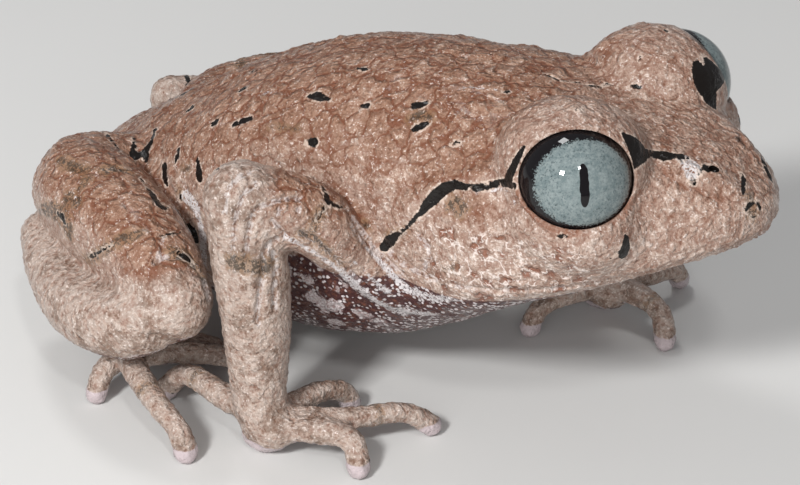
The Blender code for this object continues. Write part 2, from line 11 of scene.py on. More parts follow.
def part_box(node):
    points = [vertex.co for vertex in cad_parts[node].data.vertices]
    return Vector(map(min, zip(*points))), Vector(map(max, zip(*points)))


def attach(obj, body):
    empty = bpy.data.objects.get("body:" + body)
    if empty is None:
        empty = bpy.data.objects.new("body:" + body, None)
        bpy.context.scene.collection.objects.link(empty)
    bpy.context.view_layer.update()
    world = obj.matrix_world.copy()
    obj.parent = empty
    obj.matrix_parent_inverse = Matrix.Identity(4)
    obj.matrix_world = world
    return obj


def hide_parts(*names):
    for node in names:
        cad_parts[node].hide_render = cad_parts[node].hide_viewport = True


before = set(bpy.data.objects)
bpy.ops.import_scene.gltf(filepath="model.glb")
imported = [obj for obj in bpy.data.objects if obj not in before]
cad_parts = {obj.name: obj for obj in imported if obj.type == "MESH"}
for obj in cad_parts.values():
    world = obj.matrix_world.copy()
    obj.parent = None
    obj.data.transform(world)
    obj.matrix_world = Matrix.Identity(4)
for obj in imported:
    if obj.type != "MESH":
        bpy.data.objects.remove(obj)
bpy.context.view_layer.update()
print("frame loaded:", len(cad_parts), "nodes")

mm = 0.001

# Everything below is in millimetres: nose along +X, the frog's left at +Y, floor at Z 0.
# The right eye's solid says where that drawing lies in the frame.
eye = {
    "centre": (17.7, 9.38, 26.9),  # of the left ball
    "radius": 4.5,
    "turn": 50.5,  # degrees from straight ahead to where it looks
    "lift": 25.0,  # degrees above level
    "irisWide": 0.83,  # half width and half height of the iris, as shares of the ball
    "irisHigh": 0.73,
    "slitWide": 0.078,
    "slitHigh": 0.37,
    "slitMiddle": (-0.05, -0.02),  # from the ball's middle, across and up
    "slitWaver": 0.05,
    "sides": 96,  # round the ball and its socket
    "gap": 0.03,  # between them
}
eyeLow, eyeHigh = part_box("eye_right")
origin = (eyeLow + eyeHigh) / 2 - Vector((eye["centre"][0], -eye["centre"][1], eye["centre"][2])) * mm
toFrame = Matrix.Translation(origin) @ Matrix.Scale(mm, 4)

photo = {
    "wide": 800,
    "high": 485,
    "around": 30.0,  # degrees from square on to the frog's right side, towards the nose
    "above": 31.0,
    "distance": 190.0,
    "pixelsToMm": 13.0,  # at the aim
    "aim": (18.0, -9.2, 26.9),  # a point of the head, and where the photo has it
    "aimPixel": (579, 180),
    "sensor": 36.0,
    "nearest": 0.01,  # metres from the camera to where it starts to see
}

trunk = {
    # x: half width, height of the widest line, top, bottom, squareness above and below it
    "stations": {
        30.5: (1.4, 22.9, 23.9, 21.7, 2.0, 2.0),
        29.6: (3.6, 22.7, 24.9, 20.9, 2.0, 2.1),
        27.5: (6.1, 22.3, 26.4, 19.9, 2.1, 2.2),
        25.0: (8.4, 21.7, 27.7, 18.7, 2.2, 2.2),
        21.0: (11.0, 20.8, 28.8, 16.8, 2.3, 2.3),
        16.0: (12.9, 19.8, 29.3, 14.3, 2.3, 2.3),
        11.0: (13.6, 19.0, 29.7, 11.2, 2.2, 2.3),
        6.0: (12.8, 18.2, 29.9, 7.4, 2.1, 2.2),
        0.0: (12.2, 17.3, 29.6, 4.0, 2.1, 2.2),
        -6.0: (12.6, 16.0, 28.5, 2.5, 2.1, 2.3),
        -12.0: (12.8, 14.4, 26.4, 2.3, 2.1, 2.3),
        -18.0: (11.6, 13.0, 23.5, 2.9, 2.1, 2.2),
        -24.0: (9.6, 11.8, 19.8, 4.2, 2.0, 2.0),
        -29.0: (7.2, 11.2, 16.4, 6.0, 2.0, 2.0),
        -32.5: (4.3, 10.8, 13.9, 8.0, 2.0, 2.0),
        -34.3: (1.4, 10.7, 12.0, 9.6, 2.0, 2.0),
    },
    "step": 0.8,
    "sides": 56,
}

# Stations (x, y, z, radius) along each limb
rightLimbs = {
    "upperArm": (
        (1.8, -10.0, 13.4, 2.5), (-0.8, -13.0, 17.4, 2.6), (-3.2, -15.4, 20.7, 2.9),
        (-7.3, -18.2, 22.5, 3.1),
    ),
    "forearm": (
        (-7.3, -18.2, 22.5, 3.1), (-6.6, -18.5, 17.5, 3.15), (-5.9, -18.7, 12.0, 2.95),
        (-5.6, -19.2, 6.2, 2.4),
    ),
    "palm": ((-5.6, -19.3, 5.4, 2.3), (-4.9, -19.5, 3.4, 2.2), (-4.0, -19.6, 2.4, 2.1)),
    "thigh": (
        (-26.0, -5.0, 11.8, 4.8), (-29.0, -10.4, 13.8, 4.5), (-24.4, -13.8, 14.2, 4.7),
        (-19.0, -16.6, 14.0, 4.4), (-14.8, -19.0, 13.2, 3.6), (-12.6, -20.2, 12.4, 3.0),
    ),
    "shank": (
        (-12.6, -20.4, 12.0, 3.0), (-16.8, -21.8, 9.7, 3.1), (-22.6, -20.2, 8.6, 3.0),
        (-28.2, -16.6, 8.8, 2.5), (-31.4, -13.7, 9.6, 2.1),
    ),
    "tarsus": (
        (-31.4, -13.6, 9.0, 2.0), (-28.4, -14.2, 5.2, 1.8), (-24.2, -15.4, 3.2, 1.7),
        (-20.2, -16.6, 2.7, 1.9),
    ),
}
leftLimbs = {
    "upperArm": (
        (2.8, 8.0, 12.6, 4.6), (1.4, 13.2, 14.2, 3.8), (0.2, 17.6, 14.8, 2.9), (-0.6, 20.4, 15.0, 2.7),
    ),
    "forearm": (
        (-0.6, 20.4, 15.0, 2.9), (2.8, 19.4, 12.2, 3.0), (6.2, 17.4, 8.8, 2.8), (8.8, 15.3, 5.8, 2.3),
    ),
    "palm": ((8.8, 15.2, 5.4, 2.2), (9.6, 14.4, 3.4, 2.2), (10.6, 13.8, 2.4, 2.1)),
    "thigh": (
        (-26.0, 5.0, 11.4, 4.8), (-28.0, 10.0, 11.6, 4.5), (-24.6, 13.8, 12.2, 4.6),
        (-20.2, 17.2, 12.2, 4.2), (-17.0, 19.8, 11.8, 3.5), (-15.4, 21.0, 11.0, 3.0),
    ),
    "shank": (
        (-15.4, 21.2, 10.6, 3.0), (-19.6, 23.6, 7.8, 3.1), (-26.2, 22.4, 7.4, 2.9),
        (-33.0, 17.4, 8.4, 2.4), (-36.8, 13.8, 9.4, 2.1),
    ),
    "tarsus": (
        (-36.8, 13.7, 8.8, 2.0), (-33.6, 14.4, 5.0, 1.8), (-29.4, 16.0, 3.0, 1.7), (-25.4, 17.4, 2.7, 1.9),
    ),
}
# Digits, inner to outer: root, knuckles, tip
rightDigits = {
    "finger1": (
        (-4.4, -18.2, 2.6, 1.15), (-3.2, -14.6, 2.9, 1.0), (-1.9, -12.2, 2.3, 0.95),
        (-1.5, -11.4, 0.8, 1.05),
    ),
    "finger2": (
        (-2.9, -18.6, 2.8, 1.2), (1.2, -16.2, 2.9, 1.05), (4.5, -12.8, 2.6, 0.95), (6.2, -11.0, 0.8, 1.05),
    ),
    "finger3": (
        (-2.6, -19.6, 2.6, 1.2), (0.6, -18.8, 2.9, 1.1), (2.9, -18.3, 2.6, 1.0), (4.0, -19.2, 0.8, 1.1),
    ),
    "finger4": (
        (-5.6, -19.8, 2.8, 1.2), (-10.2, -18.7, 3.2, 1.15), (-14.0, -17.7, 3.1, 1.0),
        (-16.2, -18.0, 0.8, 1.05),
    ),
    "toe1": ((-20.0, -15.4, 2.5, 1.1), (-18.4, -12.8, 2.5, 0.95), (-17.4, -11.4, 0.75, 0.95)),
    "toe2": ((-18.8, -15.4, 2.7, 1.15), (-16.2, -12.6, 2.7, 1.0), (-14.2, -10.6, 0.75, 1.0)),
    "toe3": (
        (-18.4, -16.0, 2.8, 1.2), (-14.6, -13.9, 2.8, 1.05), (-11.4, -12.9, 2.4, 0.95),
        (-10.2, -12.7, 0.8, 1.05),
    ),
    "toe4": (
        (-19.6, -17.4, 3.4, 1.3), (-17.4, -20.4, 4.3, 1.2), (-13.4, -23.0, 3.7, 1.1),
        (-10.3, -24.2, 2.5, 1.0), (-9.5, -24.5, 0.8, 1.15),
    ),
    "toe5": ((-20.4, -17.6, 2.6, 1.15), (-20.8, -20.0, 2.7, 1.0), (-20.9, -21.3, 0.8, 1.05)),
}
leftDigits = {
    "finger1": ((9.8, 12.8, 2.6, 1.15), (8.0, 9.4, 3.0, 1.0), (6.8, 7.4, 2.4, 0.95), (6.4, 6.5, 0.8, 1.05)),
    "finger2": (
        (11.4, 13.4, 2.8, 1.2), (14.4, 12.8, 3.1, 1.1), (16.8, 11.6, 2.7, 1.0), (17.7, 10.6, 0.8, 1.1),
    ),
    "finger3": (
        (11.2, 14.4, 2.6, 1.2), (13.2, 17.0, 2.9, 1.1), (14.4, 19.4, 2.4, 1.0), (14.6, 20.6, 0.8, 1.05),
    ),
    "finger4": (
        (9.8, 14.8, 2.8, 1.2), (8.4, 18.0, 3.0, 1.1), (7.4, 20.6, 2.4, 1.0), (7.0, 21.8, 0.8, 1.05),
    ),
    "toe1": ((-25.4, 16.2, 2.5, 1.1), (-23.8, 13.8, 2.5, 0.95), (-22.8, 12.4, 0.75, 0.95)),
    "toe2": ((-24.2, 16.6, 2.7, 1.15), (-21.0, 14.6, 2.7, 1.0), (-18.6, 13.2, 0.75, 1.0)),
    "toe3": (
        (-23.8, 17.4, 2.8, 1.2), (-19.6, 17.0, 2.8, 1.05), (-16.2, 16.8, 2.4, 0.95),
        (-15.0, 16.6, 0.8, 1.05),
    ),
    "toe4": (
        (-24.2, 18.2, 2.8, 1.35), (-20.6, 20.2, 2.9, 1.2), (-16.6, 21.8, 2.8, 1.1),
        (-13.2, 23.2, 2.3, 1.0), (-12.2, 23.6, 0.8, 1.15),
    ),
    "toe5": ((-25.8, 18.6, 2.6, 1.15), (-26.2, 21.2, 2.5, 1.0), (-26.4, 23.0, 0.8, 1.05)),
}
bothSides = ((rightLimbs, rightDigits), (leftLimbs, leftDigits))


# Shapes


def ease(value, low, high):
    t = np.clip((value - low) / (high - low), 0, 1)
    return t * t * (3 - 2 * t)


def blendRows(table, at):
    # monotone cubic through the rows of a table keyed by x
    keys = np.array(sorted(table))
    rows = np.array([table[k] for k in sorted(table)])
    slope = np.diff(rows, axis=0) / np.diff(keys)[:, None]
    tangent = np.vstack([slope[:1], (slope[:-1] + slope[1:]) / 2 * (slope[:-1] * slope[1:] > 0), slope[-1:]])
    i = np.clip(np.searchsorted(keys, at) - 1, 0, len(keys) - 2)
    span = (keys[i + 1] - keys[i])[..., None]
    t = (np.asarray(at)[..., None] - keys[i][..., None]) / span
    return (
        (2 * t**3 - 3 * t**2 + 1) * rows[i]
        + (t**3 - 2 * t**2 + t) * span * tangent[i]
        + (3 * t**2 - 2 * t**3) * rows[i + 1]
        + (t**3 - t**2) * span * tangent[i + 1]
    )


def onSide(x, z, side):
    # the trunk's surface at x and height z; side is 1 on the left
    wide, sideZ, topZ, lowZ, squareUp, squareDown = blendRows(trunk["stations"], np.array(x))
    high, square = (topZ - sideZ, squareUp) if z >= sideZ else (sideZ - lowZ, squareDown)
    share = min(abs(z - sideZ) / high, 1.0)
    return Vector((x, side * wide * (1 - share**square) ** (1 / square), z))


def ringForm(bm, rings):
    # bridges rings of points, each started as a circle, and fills the ends
    loops = []
    for ring in rings:
        verts = bmesh.ops.create_circle(bm, segments=len(ring), radius=1.0)["verts"]
        for vert, point in zip(verts, ring):
            vert.co = point
        loops.append(list(dict.fromkeys(edge for vert in verts for edge in vert.link_edges)))
    for first, second in zip(loops, loops[1:]):
        bmesh.ops.bridge_loops(bm, edges=first + second)
    for end in (loops[0], loops[-1]):
        bmesh.ops.edgeloop_fill(bm, edges=end)


def trunkForm(bm):
    first, last = max(trunk["stations"]), min(trunk["stations"])
    count = math.ceil((first - last) / trunk["step"])
    rings = []
    for x in np.linspace(first, last, count + 1):
        wide, sideZ, topZ, lowZ, squareUp, squareDown = blendRows(trunk["stations"], x)
        ring = []
        for i in range(trunk["sides"]):
            angle = 2 * math.pi * i / trunk["sides"]
            across, up = math.sin(angle), math.cos(angle)
            power = 2 / (squareUp if up >= 0 else squareDown)
            high = topZ - sideZ if up >= 0 else sideZ - lowZ
            y = wide * math.copysign(abs(across) ** power, across)
            ring.append(Vector((x, y, sideZ + high * math.copysign(abs(up) ** power, up))))
        rings.append(ring)
    ringForm(bm, rings)


def splinePath(points, samples=8):
    # Catmull-Rom through the points; each may carry a radius
    rows = [np.array(p, float) for p in points]
    rows = [2 * rows[0] - rows[1], *rows, 2 * rows[-1] - rows[-2]]
    path = []
    for p0, p1, p2, p3 in zip(rows, rows[1:], rows[2:], rows[3:]):
        for t in np.arange(samples) / samples:
            curve = 2 * p1 + (p2 - p0) * t + (2 * p0 - 5 * p1 + 4 * p2 - p3) * t**2
            path.append((curve + (3 * p1 - p0 - 3 * p2 + p3) * t**3) / 2)
    return path + [rows[-2]]


def ball(bm, centre, radii, turn=None, sides=24):
    matrix = Matrix.Translation(centre) @ (turn or Matrix()).to_4x4() @ Matrix.Diagonal((*radii, 1.0))
    bmesh.ops.create_uvsphere(bm, u_segments=sides, v_segments=sides * 2 // 3, radius=1.0, matrix=matrix)


def circleRound(station, ahead, count):
    # points round one station of a path that runs ahead
    x, y, z, radius = station
    turn = Vector(ahead[:3]).to_track_quat("Z", "Y").to_matrix()
    angles = [2 * math.pi * i / count for i in range(count)]
    return [Vector((x, y, z)) + turn @ Vector((math.cos(a), math.sin(a), 0)) * radius for a in angles]


def limbForm(bm, stations, samples=6, sides=20):
    path = splinePath(stations, samples)
    aheads = [second - first for first, second in zip(path[:1] + path, path[1:] + path[-1:])]
    ringForm(bm, [circleRound(station, ahead, sides) for station, ahead in zip(path, aheads)])
    for x, y, z, radius in (path[0], path[-1]):
        ball(bm, Vector((x, y, z)), (radius,) * 3, sides=sides)


def toSide(place, side):
    # a place or direction given for the left side
    return Vector((place[0], side * place[1], place[2]))


def turnedTo(part, side):
    # +Z along the way that a part faces, and +Y as near upright as it can be
    turn, lift = math.radians(part["turn"]), math.radians(part["lift"])
    faces = (math.cos(turn) * math.cos(lift), math.sin(turn) * math.cos(lift), math.sin(lift))
    return toSide(faces, side).to_track_quat("Z", "Y").to_matrix()


def eyeCentre(side):
    return toSide(eye["centre"], side)


lids = {
    "dome": (16.6, 7.3, 26.9),  # middle of the left dome over the ball
    "domeRadii": (6.3, 5.7, 5.4),
    "turn": 58.0,  # the way that the opening faces
    "lift": 26.0,
    "wide": 4.66,  # half width and half height along the middle of the rim
    "high": 4.02,
    "raise": 0.2,
    "clear": 0.24,  # from the ball's surface to the middle of the rim
    "rim": 0.23,  # the rim's own radius
    "steps": 48,
    "inset": 0.22,  # from the middle of the rim to the opening's edge
    "start": 0.3,  # where the opening begins, from the ball's middle
    "depth": 6.0,
    "cheek": (17.6, 8.8, 23.4),  # the swelling that carries the lower lid
    "cheekRadii": (6.2, 5.2, 4.4),
}


def rimPoint(side, angle):
    # a point of the lids' edge, which lies close round the ball
    across = lids["wide"] * math.cos(angle)
    height = lids["high"] * math.sin(angle) + lids["raise"]
    reach = eye["radius"] + lids["clear"]
    depth = math.sqrt(max(reach**2 - across**2 - height**2, 0.1))
    return eyeCentre(side) + turnedTo(lids, side) @ Vector((across, height, depth))


def lidForm(bm, side):
    rim = []
    for i in range(lids["steps"] + 1):
        rim.append((*rimPoint(side, 2 * math.pi * i / lids["steps"]), lids["rim"]))
    limbForm(bm, rim, samples=1, sides=14)


pads = {"radii": (2.2, 1.7, 1.5), "rise": 1.2}  # the cushion under each palm
nostril = {"place": (26.4, 2.8, 27.0), "faces": (0.27, 0.54, 0.66), "hole": (0.5, 0.36, 0.9)}

skin = {
    "coarseVoxel": 0.3,  # first fusing, smoothed until the limbs flow into the trunk
    "coarseSmooth": 9,
    "softSmooth": 60,  # more of it below the eyes
    "softReach": (5.0, 8.0),  # from the cheek's middle, where this starts to fade and where it ends
    "softClear": (0.9, 2.0),  # from the ball's surface, where it starts and where it is full
    "softTop": 3.0,  # it ends this far above the cheek's middle
    "fineVoxel": 0.24,  # second fusing, with the lids
    "fineSmooth": 4,
    "triangles": 192000,  # about as many as the finished skin has
    "floorBlock": 120.0,  # side of the block that cuts the flats
}


def newPiece(name, bm):
    # one object from a bmesh, its faces pointing out
    bmesh.ops.recalc_face_normals(bm, faces=bm.faces)
    mesh = bpy.data.meshes.new(name)
    bm.to_mesh(mesh)
    bm.free()
    piece = bpy.data.objects.new(name, mesh)
    bpy.context.scene.collection.objects.link(piece)
    return piece


def applied(piece, *modifiers):
    # the piece's mesh after these modifiers, each given as its type and settings
    for kind, settings in modifiers:
        modifier = piece.modifiers.new(kind.lower(), kind)
        for key, value in settings.items():
            setattr(modifier, key, value)
    graph = bpy.context.evaluated_depsgraph_get()
    mesh = bpy.data.meshes.new_from_object(piece.evaluated_get(graph))
    piece.modifiers.clear()
    old = piece.data
    piece.data = mesh
    bpy.data.meshes.remove(old)


def surfaceTree(piece):
    bm = bmesh.new()
    bm.from_mesh(piece.data)
    tree = BVHTree.FromBMesh(bm)
    bm.free()
    return tree


def smoothCheeks(piece):
    # blends the swelling under each eye into the side of the head
    group = piece.vertex_groups.new(name="cheeks")
    for vert in piece.data.vertices:
        for side in (-1, 1):
            away = (vert.co - toSide(lids["cheek"], side)).length
            clear = (vert.co - eyeCentre(side)).length - eye["radius"]
            share = (1 - ease(away, *skin["softReach"])) * ease(clear, *skin["softClear"])
            if share > 0 and vert.co.z < lids["cheek"][2] + skin["softTop"]:
                group.add([vert.index], share, "REPLACE")
    settings = {"factor": 0.5, "iterations": skin["softSmooth"], "vertex_group": "cheeks"}
    applied(piece, ("SMOOTH", settings))


def fusedFlesh():
    bm = bmesh.new()
    trunkForm(bm)
    for side in (-1, 1):
        ball(bm, toSide(lids["dome"], side), lids["domeRadii"], sides=40)
        ball(bm, toSide(lids["cheek"], side), lids["cheekRadii"], sides=40)
    for limbs, digits in bothSides:
        for stations in (*limbs.values(), *digits.values()):
            limbForm(bm, stations)
        x, y, _, _ = limbs["palm"][1]
        ball(bm, Vector((x, y, pads["rise"])), pads["radii"])
    piece = newPiece("skin", bm)
    applied(
        piece,
        ("REMESH", {"mode": "VOXEL", "voxel_size": skin["coarseVoxel"]}),
        ("SMOOTH", {"factor": 0.5, "iterations": skin["coarseSmooth"]}),
    )
    smoothCheeks(piece)
    bm = bmesh.new()
    for side in (-1, 1):
        lidForm(bm, side)
    bm.from_mesh(piece.data)
    bm.to_mesh(piece.data)
    bm.free()
    applied(
        piece,
        ("REMESH", {"mode": "VOXEL", "voxel_size": skin["fineVoxel"]}),
        ("SMOOTH", {"factor": 0.5, "iterations": skin["fineSmooth"]}),
    )
    return piece


def cutAway(piece):
    # sockets and their openings, nostrils and the flats under palms and tips
    cutters = []
    tree = surfaceTree(piece)
    for side in (-1, 1):
        bm = bmesh.new()
        ball(bm, eyeCentre(side), (eye["radius"] + eye["gap"],) * 3, sides=eye["sides"])
        cutters.append(newPiece("socket", bm))
        bm = bmesh.new()
        oval = Matrix.Diagonal((lids["wide"] - lids["inset"], lids["high"] - lids["inset"], 1, 1))
        ahead = Matrix.Translation((0, lids["raise"], lids["start"] + lids["depth"] / 2))
        turned = Matrix.Translation(eyeCentre(side)) @ turnedTo(lids, side).to_4x4() @ ahead @ oval
        drum = {"radius1": 1, "radius2": 1, "depth": lids["depth"]}
        bmesh.ops.create_cone(bm, cap_ends=True, segments=eye["sides"], matrix=turned, **drum)
        cutters.append(newPiece("opening", bm))
        bm = bmesh.new()
        hole = tree.find_nearest(toSide(nostril["place"], side))[0]
        turn = toSide(nostril["faces"], side).to_track_quat("Z", "Y").to_matrix()
        ball(bm, hole, nostril["hole"], turn=turn)
        cutters.append(newPiece("nostrilHole", bm))
    bm = bmesh.new()
    below = Matrix.Translation((0, 0, -skin["floorBlock"] / 2))
    bmesh.ops.create_cube(bm, size=skin["floorBlock"], matrix=below)
    cutters.append(newPiece("floorBlock", bm))
    cut = {"operation": "DIFFERENCE", "solver": "MANIFOLD"}
    applied(piece, *[("BOOLEAN", {**cut, "object": cutter}) for cutter in cutters])
    for cutter in cutters:
        bpy.data.objects.remove(cutter)


# Camera


def fromMiddle(pixel, focal):
    # how far a pixel lies to the right of and above the photo's middle, at a distance of 1
    return (pixel[0] - photo["wide"] / 2) / focal, (photo["high"] / 2 - pixel[1]) / focal


def cameraPlace():
    # the axes right, up and back, the camera's place and its focal length in pixels
    around, above = math.radians(photo["around"]), math.radians(photo["above"])
    back = Vector((math.sin(around) * math.cos(above), -math.cos(around) * math.cos(above), math.sin(above)))
    right = Vector((math.cos(around), math.sin(around), 0))
    up = back.cross(right)
    focal = photo["pixelsToMm"] * photo["distance"]
    across, rise = fromMiddle(photo["aimPixel"], focal)
    place = Vector(photo["aim"]) - photo["distance"] * (right * across + up * rise - back)
    return right, up, back, place, focal


def addCamera():
    right, up, back, place, focal = cameraPlace()
    data = bpy.data.cameras.new("camera")
    data.sensor_width = photo["sensor"]
    data.lens = photo["sensor"] * focal / photo["wide"]
    data.clip_start = photo["nearest"]
    camera = bpy.data.objects.new("camera", data)
    turn = Matrix((right, up, back)).transposed().to_4x4()
    camera.matrix_world = Matrix.Translation(toFrame @ place) @ turn
    bpy.context.scene.collection.objects.link(camera)
    bpy.context.scene.camera = camera


# Folds: depth and half width in mm, then the photo's pixels that each runs through
creases = {
    "elbowOuter": (0.22, 0.2, (250, 172), (238, 178), (230, 188), (226, 200), (225, 212)),
    "elbow": (
        0.36, 0.22, (256, 184), (248, 190), (242, 198), (237, 211), (235, 225), (234, 243), (233, 257),
    ),
    "elbowInner": (
        0.42, 0.24, (300, 198), (290, 199), (273, 202), (261, 206), (255, 211), (251, 221), (249, 233),
        (247, 250), (246, 262),
    ),
    "crookShort": (0.22, 0.17, (282, 205), (280, 210), (279, 216)),
    "crookLong": (0.22, 0.17, (297, 201), (299, 206), (298, 213)),
    "crook": (0.42, 0.24, (273, 221), (281, 229), (286, 238)),
    "forearmFold": (
        0.48, 0.25, (277, 239), (268, 246), (264, 256), (264, 273), (260, 291), (258, 310), (258, 324),
    ),
    "forearmFold2": (0.36, 0.22, (273, 252), (276, 269), (274, 286), (275, 308)),
    "upperArmFold": (0.42, 0.26, (300, 233), (316, 240), (330, 252), (343, 266), (357, 280), (370, 292)),
    "shoulderFold": (0.34, 0.26, (345, 205), (354, 220), (366, 237), (378, 252), (392, 266), (402, 276)),
    "shoulderFold2": (0.28, 0.21, (352, 226), (366, 246), (380, 262), (394, 277), (412, 292)),
    "throatFold": (0.28, 0.26, (388, 250), (400, 262), (418, 272), (436, 280)),
    "earRim": (0.17, 0.2, (420, 236), (428, 246), (430, 258), (424, 268)),
    "knee": (0.42, 0.24, (154, 263), (165, 257), (182, 257), (196, 267), (204, 280), (209, 299)),
    "thighCross": (0.2, 0.26, (104, 171), (118, 168), (130, 172)),
    "groin": (0.34, 0.24, (162, 236), (161, 250), (156, 262)),
}


def photoRay(pixel):
    right, up, back, place, focal = cameraPlace()
    across, rise = fromMiddle(pixel, focal)
    return place, (right * across + up * rise - back).normalized()


def onSkin(tree, line, width=None, step=3.0):
    # points of the skin along a line of photo pixels; a third number of a point is its own half width
    found = []
    rows = [(*p, width)[:3] for p in line]
    for (x0, y0, w0), (x1, y1, w1) in zip(rows, rows[1:] or rows):
        count = max(1, round(math.hypot(x1 - x0, y1 - y0) / step))
        for i in range(count + 1):
            t = i / count
            hit = tree.ray_cast(*photoRay((x0 + (x1 - x0) * t, y0 + (y1 - y0) * t)))[0]
            if hit:
                found.append((*hit, w0 + (w1 - w0) * t))
    return np.array(found)


def nearest(coords, samples, reach):
    # for each point the least distance to the samples less their half widths, up to reach
    away = np.full(len(coords), reach)
    low = (samples[:, :3] - samples[:, 3:]).min(0) - reach
    high = (samples[:, :3] + samples[:, 3:]).max(0) + reach
    near = np.nonzero(((coords > low) & (coords < high)).all(1))[0]
    batch = 4000  # points at a time, to keep the arrays small
    for start in range(0, len(near), batch):
        chunk = near[start : start + batch]
        gap = np.linalg.norm(coords[chunk, None] - samples[None, :, :3], axis=2) - samples[:, 3]
        away[chunk] = np.minimum(gap.min(1), reach)
    return away


tableSide = 32  # random patterns repeat after this many cells


def cellCrowns(coords, size, seed):
    # 0 on the borders of irregular cells of this size, rising to 1 inside
    table = np.random.default_rng(seed).random((tableSide, tableSide, tableSide, 3))
    scaled = coords / size
    base = np.floor(scaled).astype(int)
    first = np.full(len(coords), 9.0)
    second = first.copy()
    for shift in itertools.product((-1, 0, 1), repeat=3):
        cell = base + shift
        seeds = cell + table[tuple((cell % tableSide).T)]
        gap = np.linalg.norm(scaled - seeds, axis=1)
        second = np.minimum(second, np.maximum(first, gap))
        first = np.minimum(first, gap)
    return ease(second - first, 0.0, 0.5)


def swell(coords, size, seed):
    # smooth random values from 0 to 1 with lumps of this size
    table = np.random.default_rng(seed).random((tableSide, tableSide, tableSide))
    scaled = coords / size
    base = np.floor(scaled).astype(int)
    part = scaled - base
    part = part * part * (3 - 2 * part)
    total = np.zeros(len(coords))
    for corner in itertools.product((0, 1), repeat=3):
        weight = np.prod(np.where(corner, part, 1 - part), axis=1)
        total += weight * table[tuple(((base + corner) % tableSide).T)]
    return total


def widestHeight(alongX):
    # the height of the trunk's widest line at each x
    last, first = min(trunk["stations"]), max(trunk["stations"])
    return blendRows(trunk["stations"], np.clip(alongX, last, first))[:, 1]


def trunkShare(coords, low, high):
    # 0 where a point is nearer than low to a limb's round form and 1 beyond high, which is the trunk
    depth = np.full(len(coords), high)
    for limbs, digits in bothSides:
        for name, stations in {**limbs, **digits}.items():
            if name not in ("thigh", "upperArm"):
                depth = np.minimum(depth, nearest(coords, np.array(splinePath(stations)), high))
    return ease(depth, low, high)


def eyeClearance(coords):
    # how far each point is outside the nearer ball
    gaps = [np.linalg.norm(coords - np.array(eyeCentre(side)), axis=1) for side in (-1, 1)]
    return np.minimum(*gaps) - eye["radius"]


def placesAndNormals(mesh):
    found = []
    for name in ("co", "normal"):
        flat = np.empty(len(mesh.vertices) * 3, np.float32)
        mesh.vertices.foreach_get(name, flat)
        found.append(flat.reshape(-1, 3).astype(float))
    return found


relief = {
    "mouthDrop": (2.0, 1.1),  # under the widest line, at its corners and in front
    "mouthCorner": 9.5,
    "mouthDeep": 0.32,
    "mouthWide": 0.2,
    # lines along the head's side, by x and height: over the ear, along the snout, between eye and lip
    "earFold": ((13.8, 28.1), (12.2, 26.7), (9.7, 25.6), (6.8, 24.3), (4.6, 21.6), (2.9, 19.2)),
    "earFoldHigh": 0.45,
    "earFoldWide": 0.8,
    "snoutEdge": ((21.8, 28.4), (24.4, 27.4), (26.6, 26.5), (28.6, 25.2)),
    "snoutEdgeHigh": 0.32,
    "snoutEdgeWide": 1.1,
    "hollow": ((23.4, 24.6), (25.4, 24.2)),
    "hollowDeep": 0.35,
    "hollowWide": 2.2,
    "nostrilHigh": 0.3,
    "nostrilWide": 0.9,
    "calm": (0.25, 1.1),  # from the ball's surface, where grain and lumps start and where they are full
    "trunkFrom": (0.1, 1.2),  # the same from a limb's surface, and along the head
    "headFrom": (3.0, 9.0),
    "grainSize": 0.9,
    "grainHigh": 0.09,
    "grainSeed": 2,
    "warpSize": 1.1,  # bends the grain's borders
    "warpFar": 0.5,
    "warpSeeds": (5, 6, 7),
    "lumpSize": 3.2,
    "lumpHigh": 0.3,
    "lumpSeed": 3,
    "limbLumps": 0.35,  # shares of that height on limbs and on the head
    "headLumps": 0.5,
    "veins": 90,  # short low ridges along the back
    "veinHigh": 0.13,
    "veinWide": 0.28,
    "veinSeed": 11,
    "veinArea": ((-26, 17), (-11, 11)),  # x and y
    "veinLong": (1.5, 4.5),
    "veinTurn": 0.55,
    "lipSize": 0.5,  # beads along the lip
    "lipHigh": 0.12,
    "lipSeed": 4,
    "lipFrom": (0.15, 0.4),  # from the slit, where the beads start and where they end
    "lipTo": (0.6, 1.6),
}


def mouthLine():
    # points of the slit on both sides, with no half width
    front = max(trunk["stations"])
    line = []
    for share in np.linspace(0, 1, 90):
        x = relief["mouthCorner"] + (front - relief["mouthCorner"]) * math.sin(math.pi / 2 * share)
        sideZ = blendRows(trunk["stations"], np.array(x))[1]
        line.append((x, sideZ - np.interp(share, (0, 1), relief["mouthDrop"])))
    return np.array([(*onSide(x, z, side), 0.0) for side in (-1, 1) for x, z in line])


def sideStroke(points, side, samples=10):
    # a stroke given by x and height on the trunk's side
    flat = [(x, z, 0.0) for x, z in points]
    return np.array([(*onSide(x, z, side), 0.0) for x, z, _ in splinePath(flat, samples)])


def veinStrokes(tree):
    # short ridges that follow the back, drawn at random from a fixed seed
    draw = np.random.default_rng(relief["veinSeed"])
    above = 40.0  # higher than the back
    for _ in range(relief["veins"]):
        x, y = (draw.uniform(*span) for span in relief["veinArea"])
        turn, long = draw.normal(0, relief["veinTurn"]), draw.uniform(*relief["veinLong"])
        stroke = []
        for t in np.linspace(-0.5, 0.5, 12):
            along, across = t * long * math.cos(turn), t * long * math.sin(turn) + 0.5 * t * t
            hit = tree.ray_cast(Vector((x + along, y + across, above)), Vector((0, 0, -1)))[0]
            if hit:
                stroke.append((*hit, 0.0))
        yield np.array(stroke)


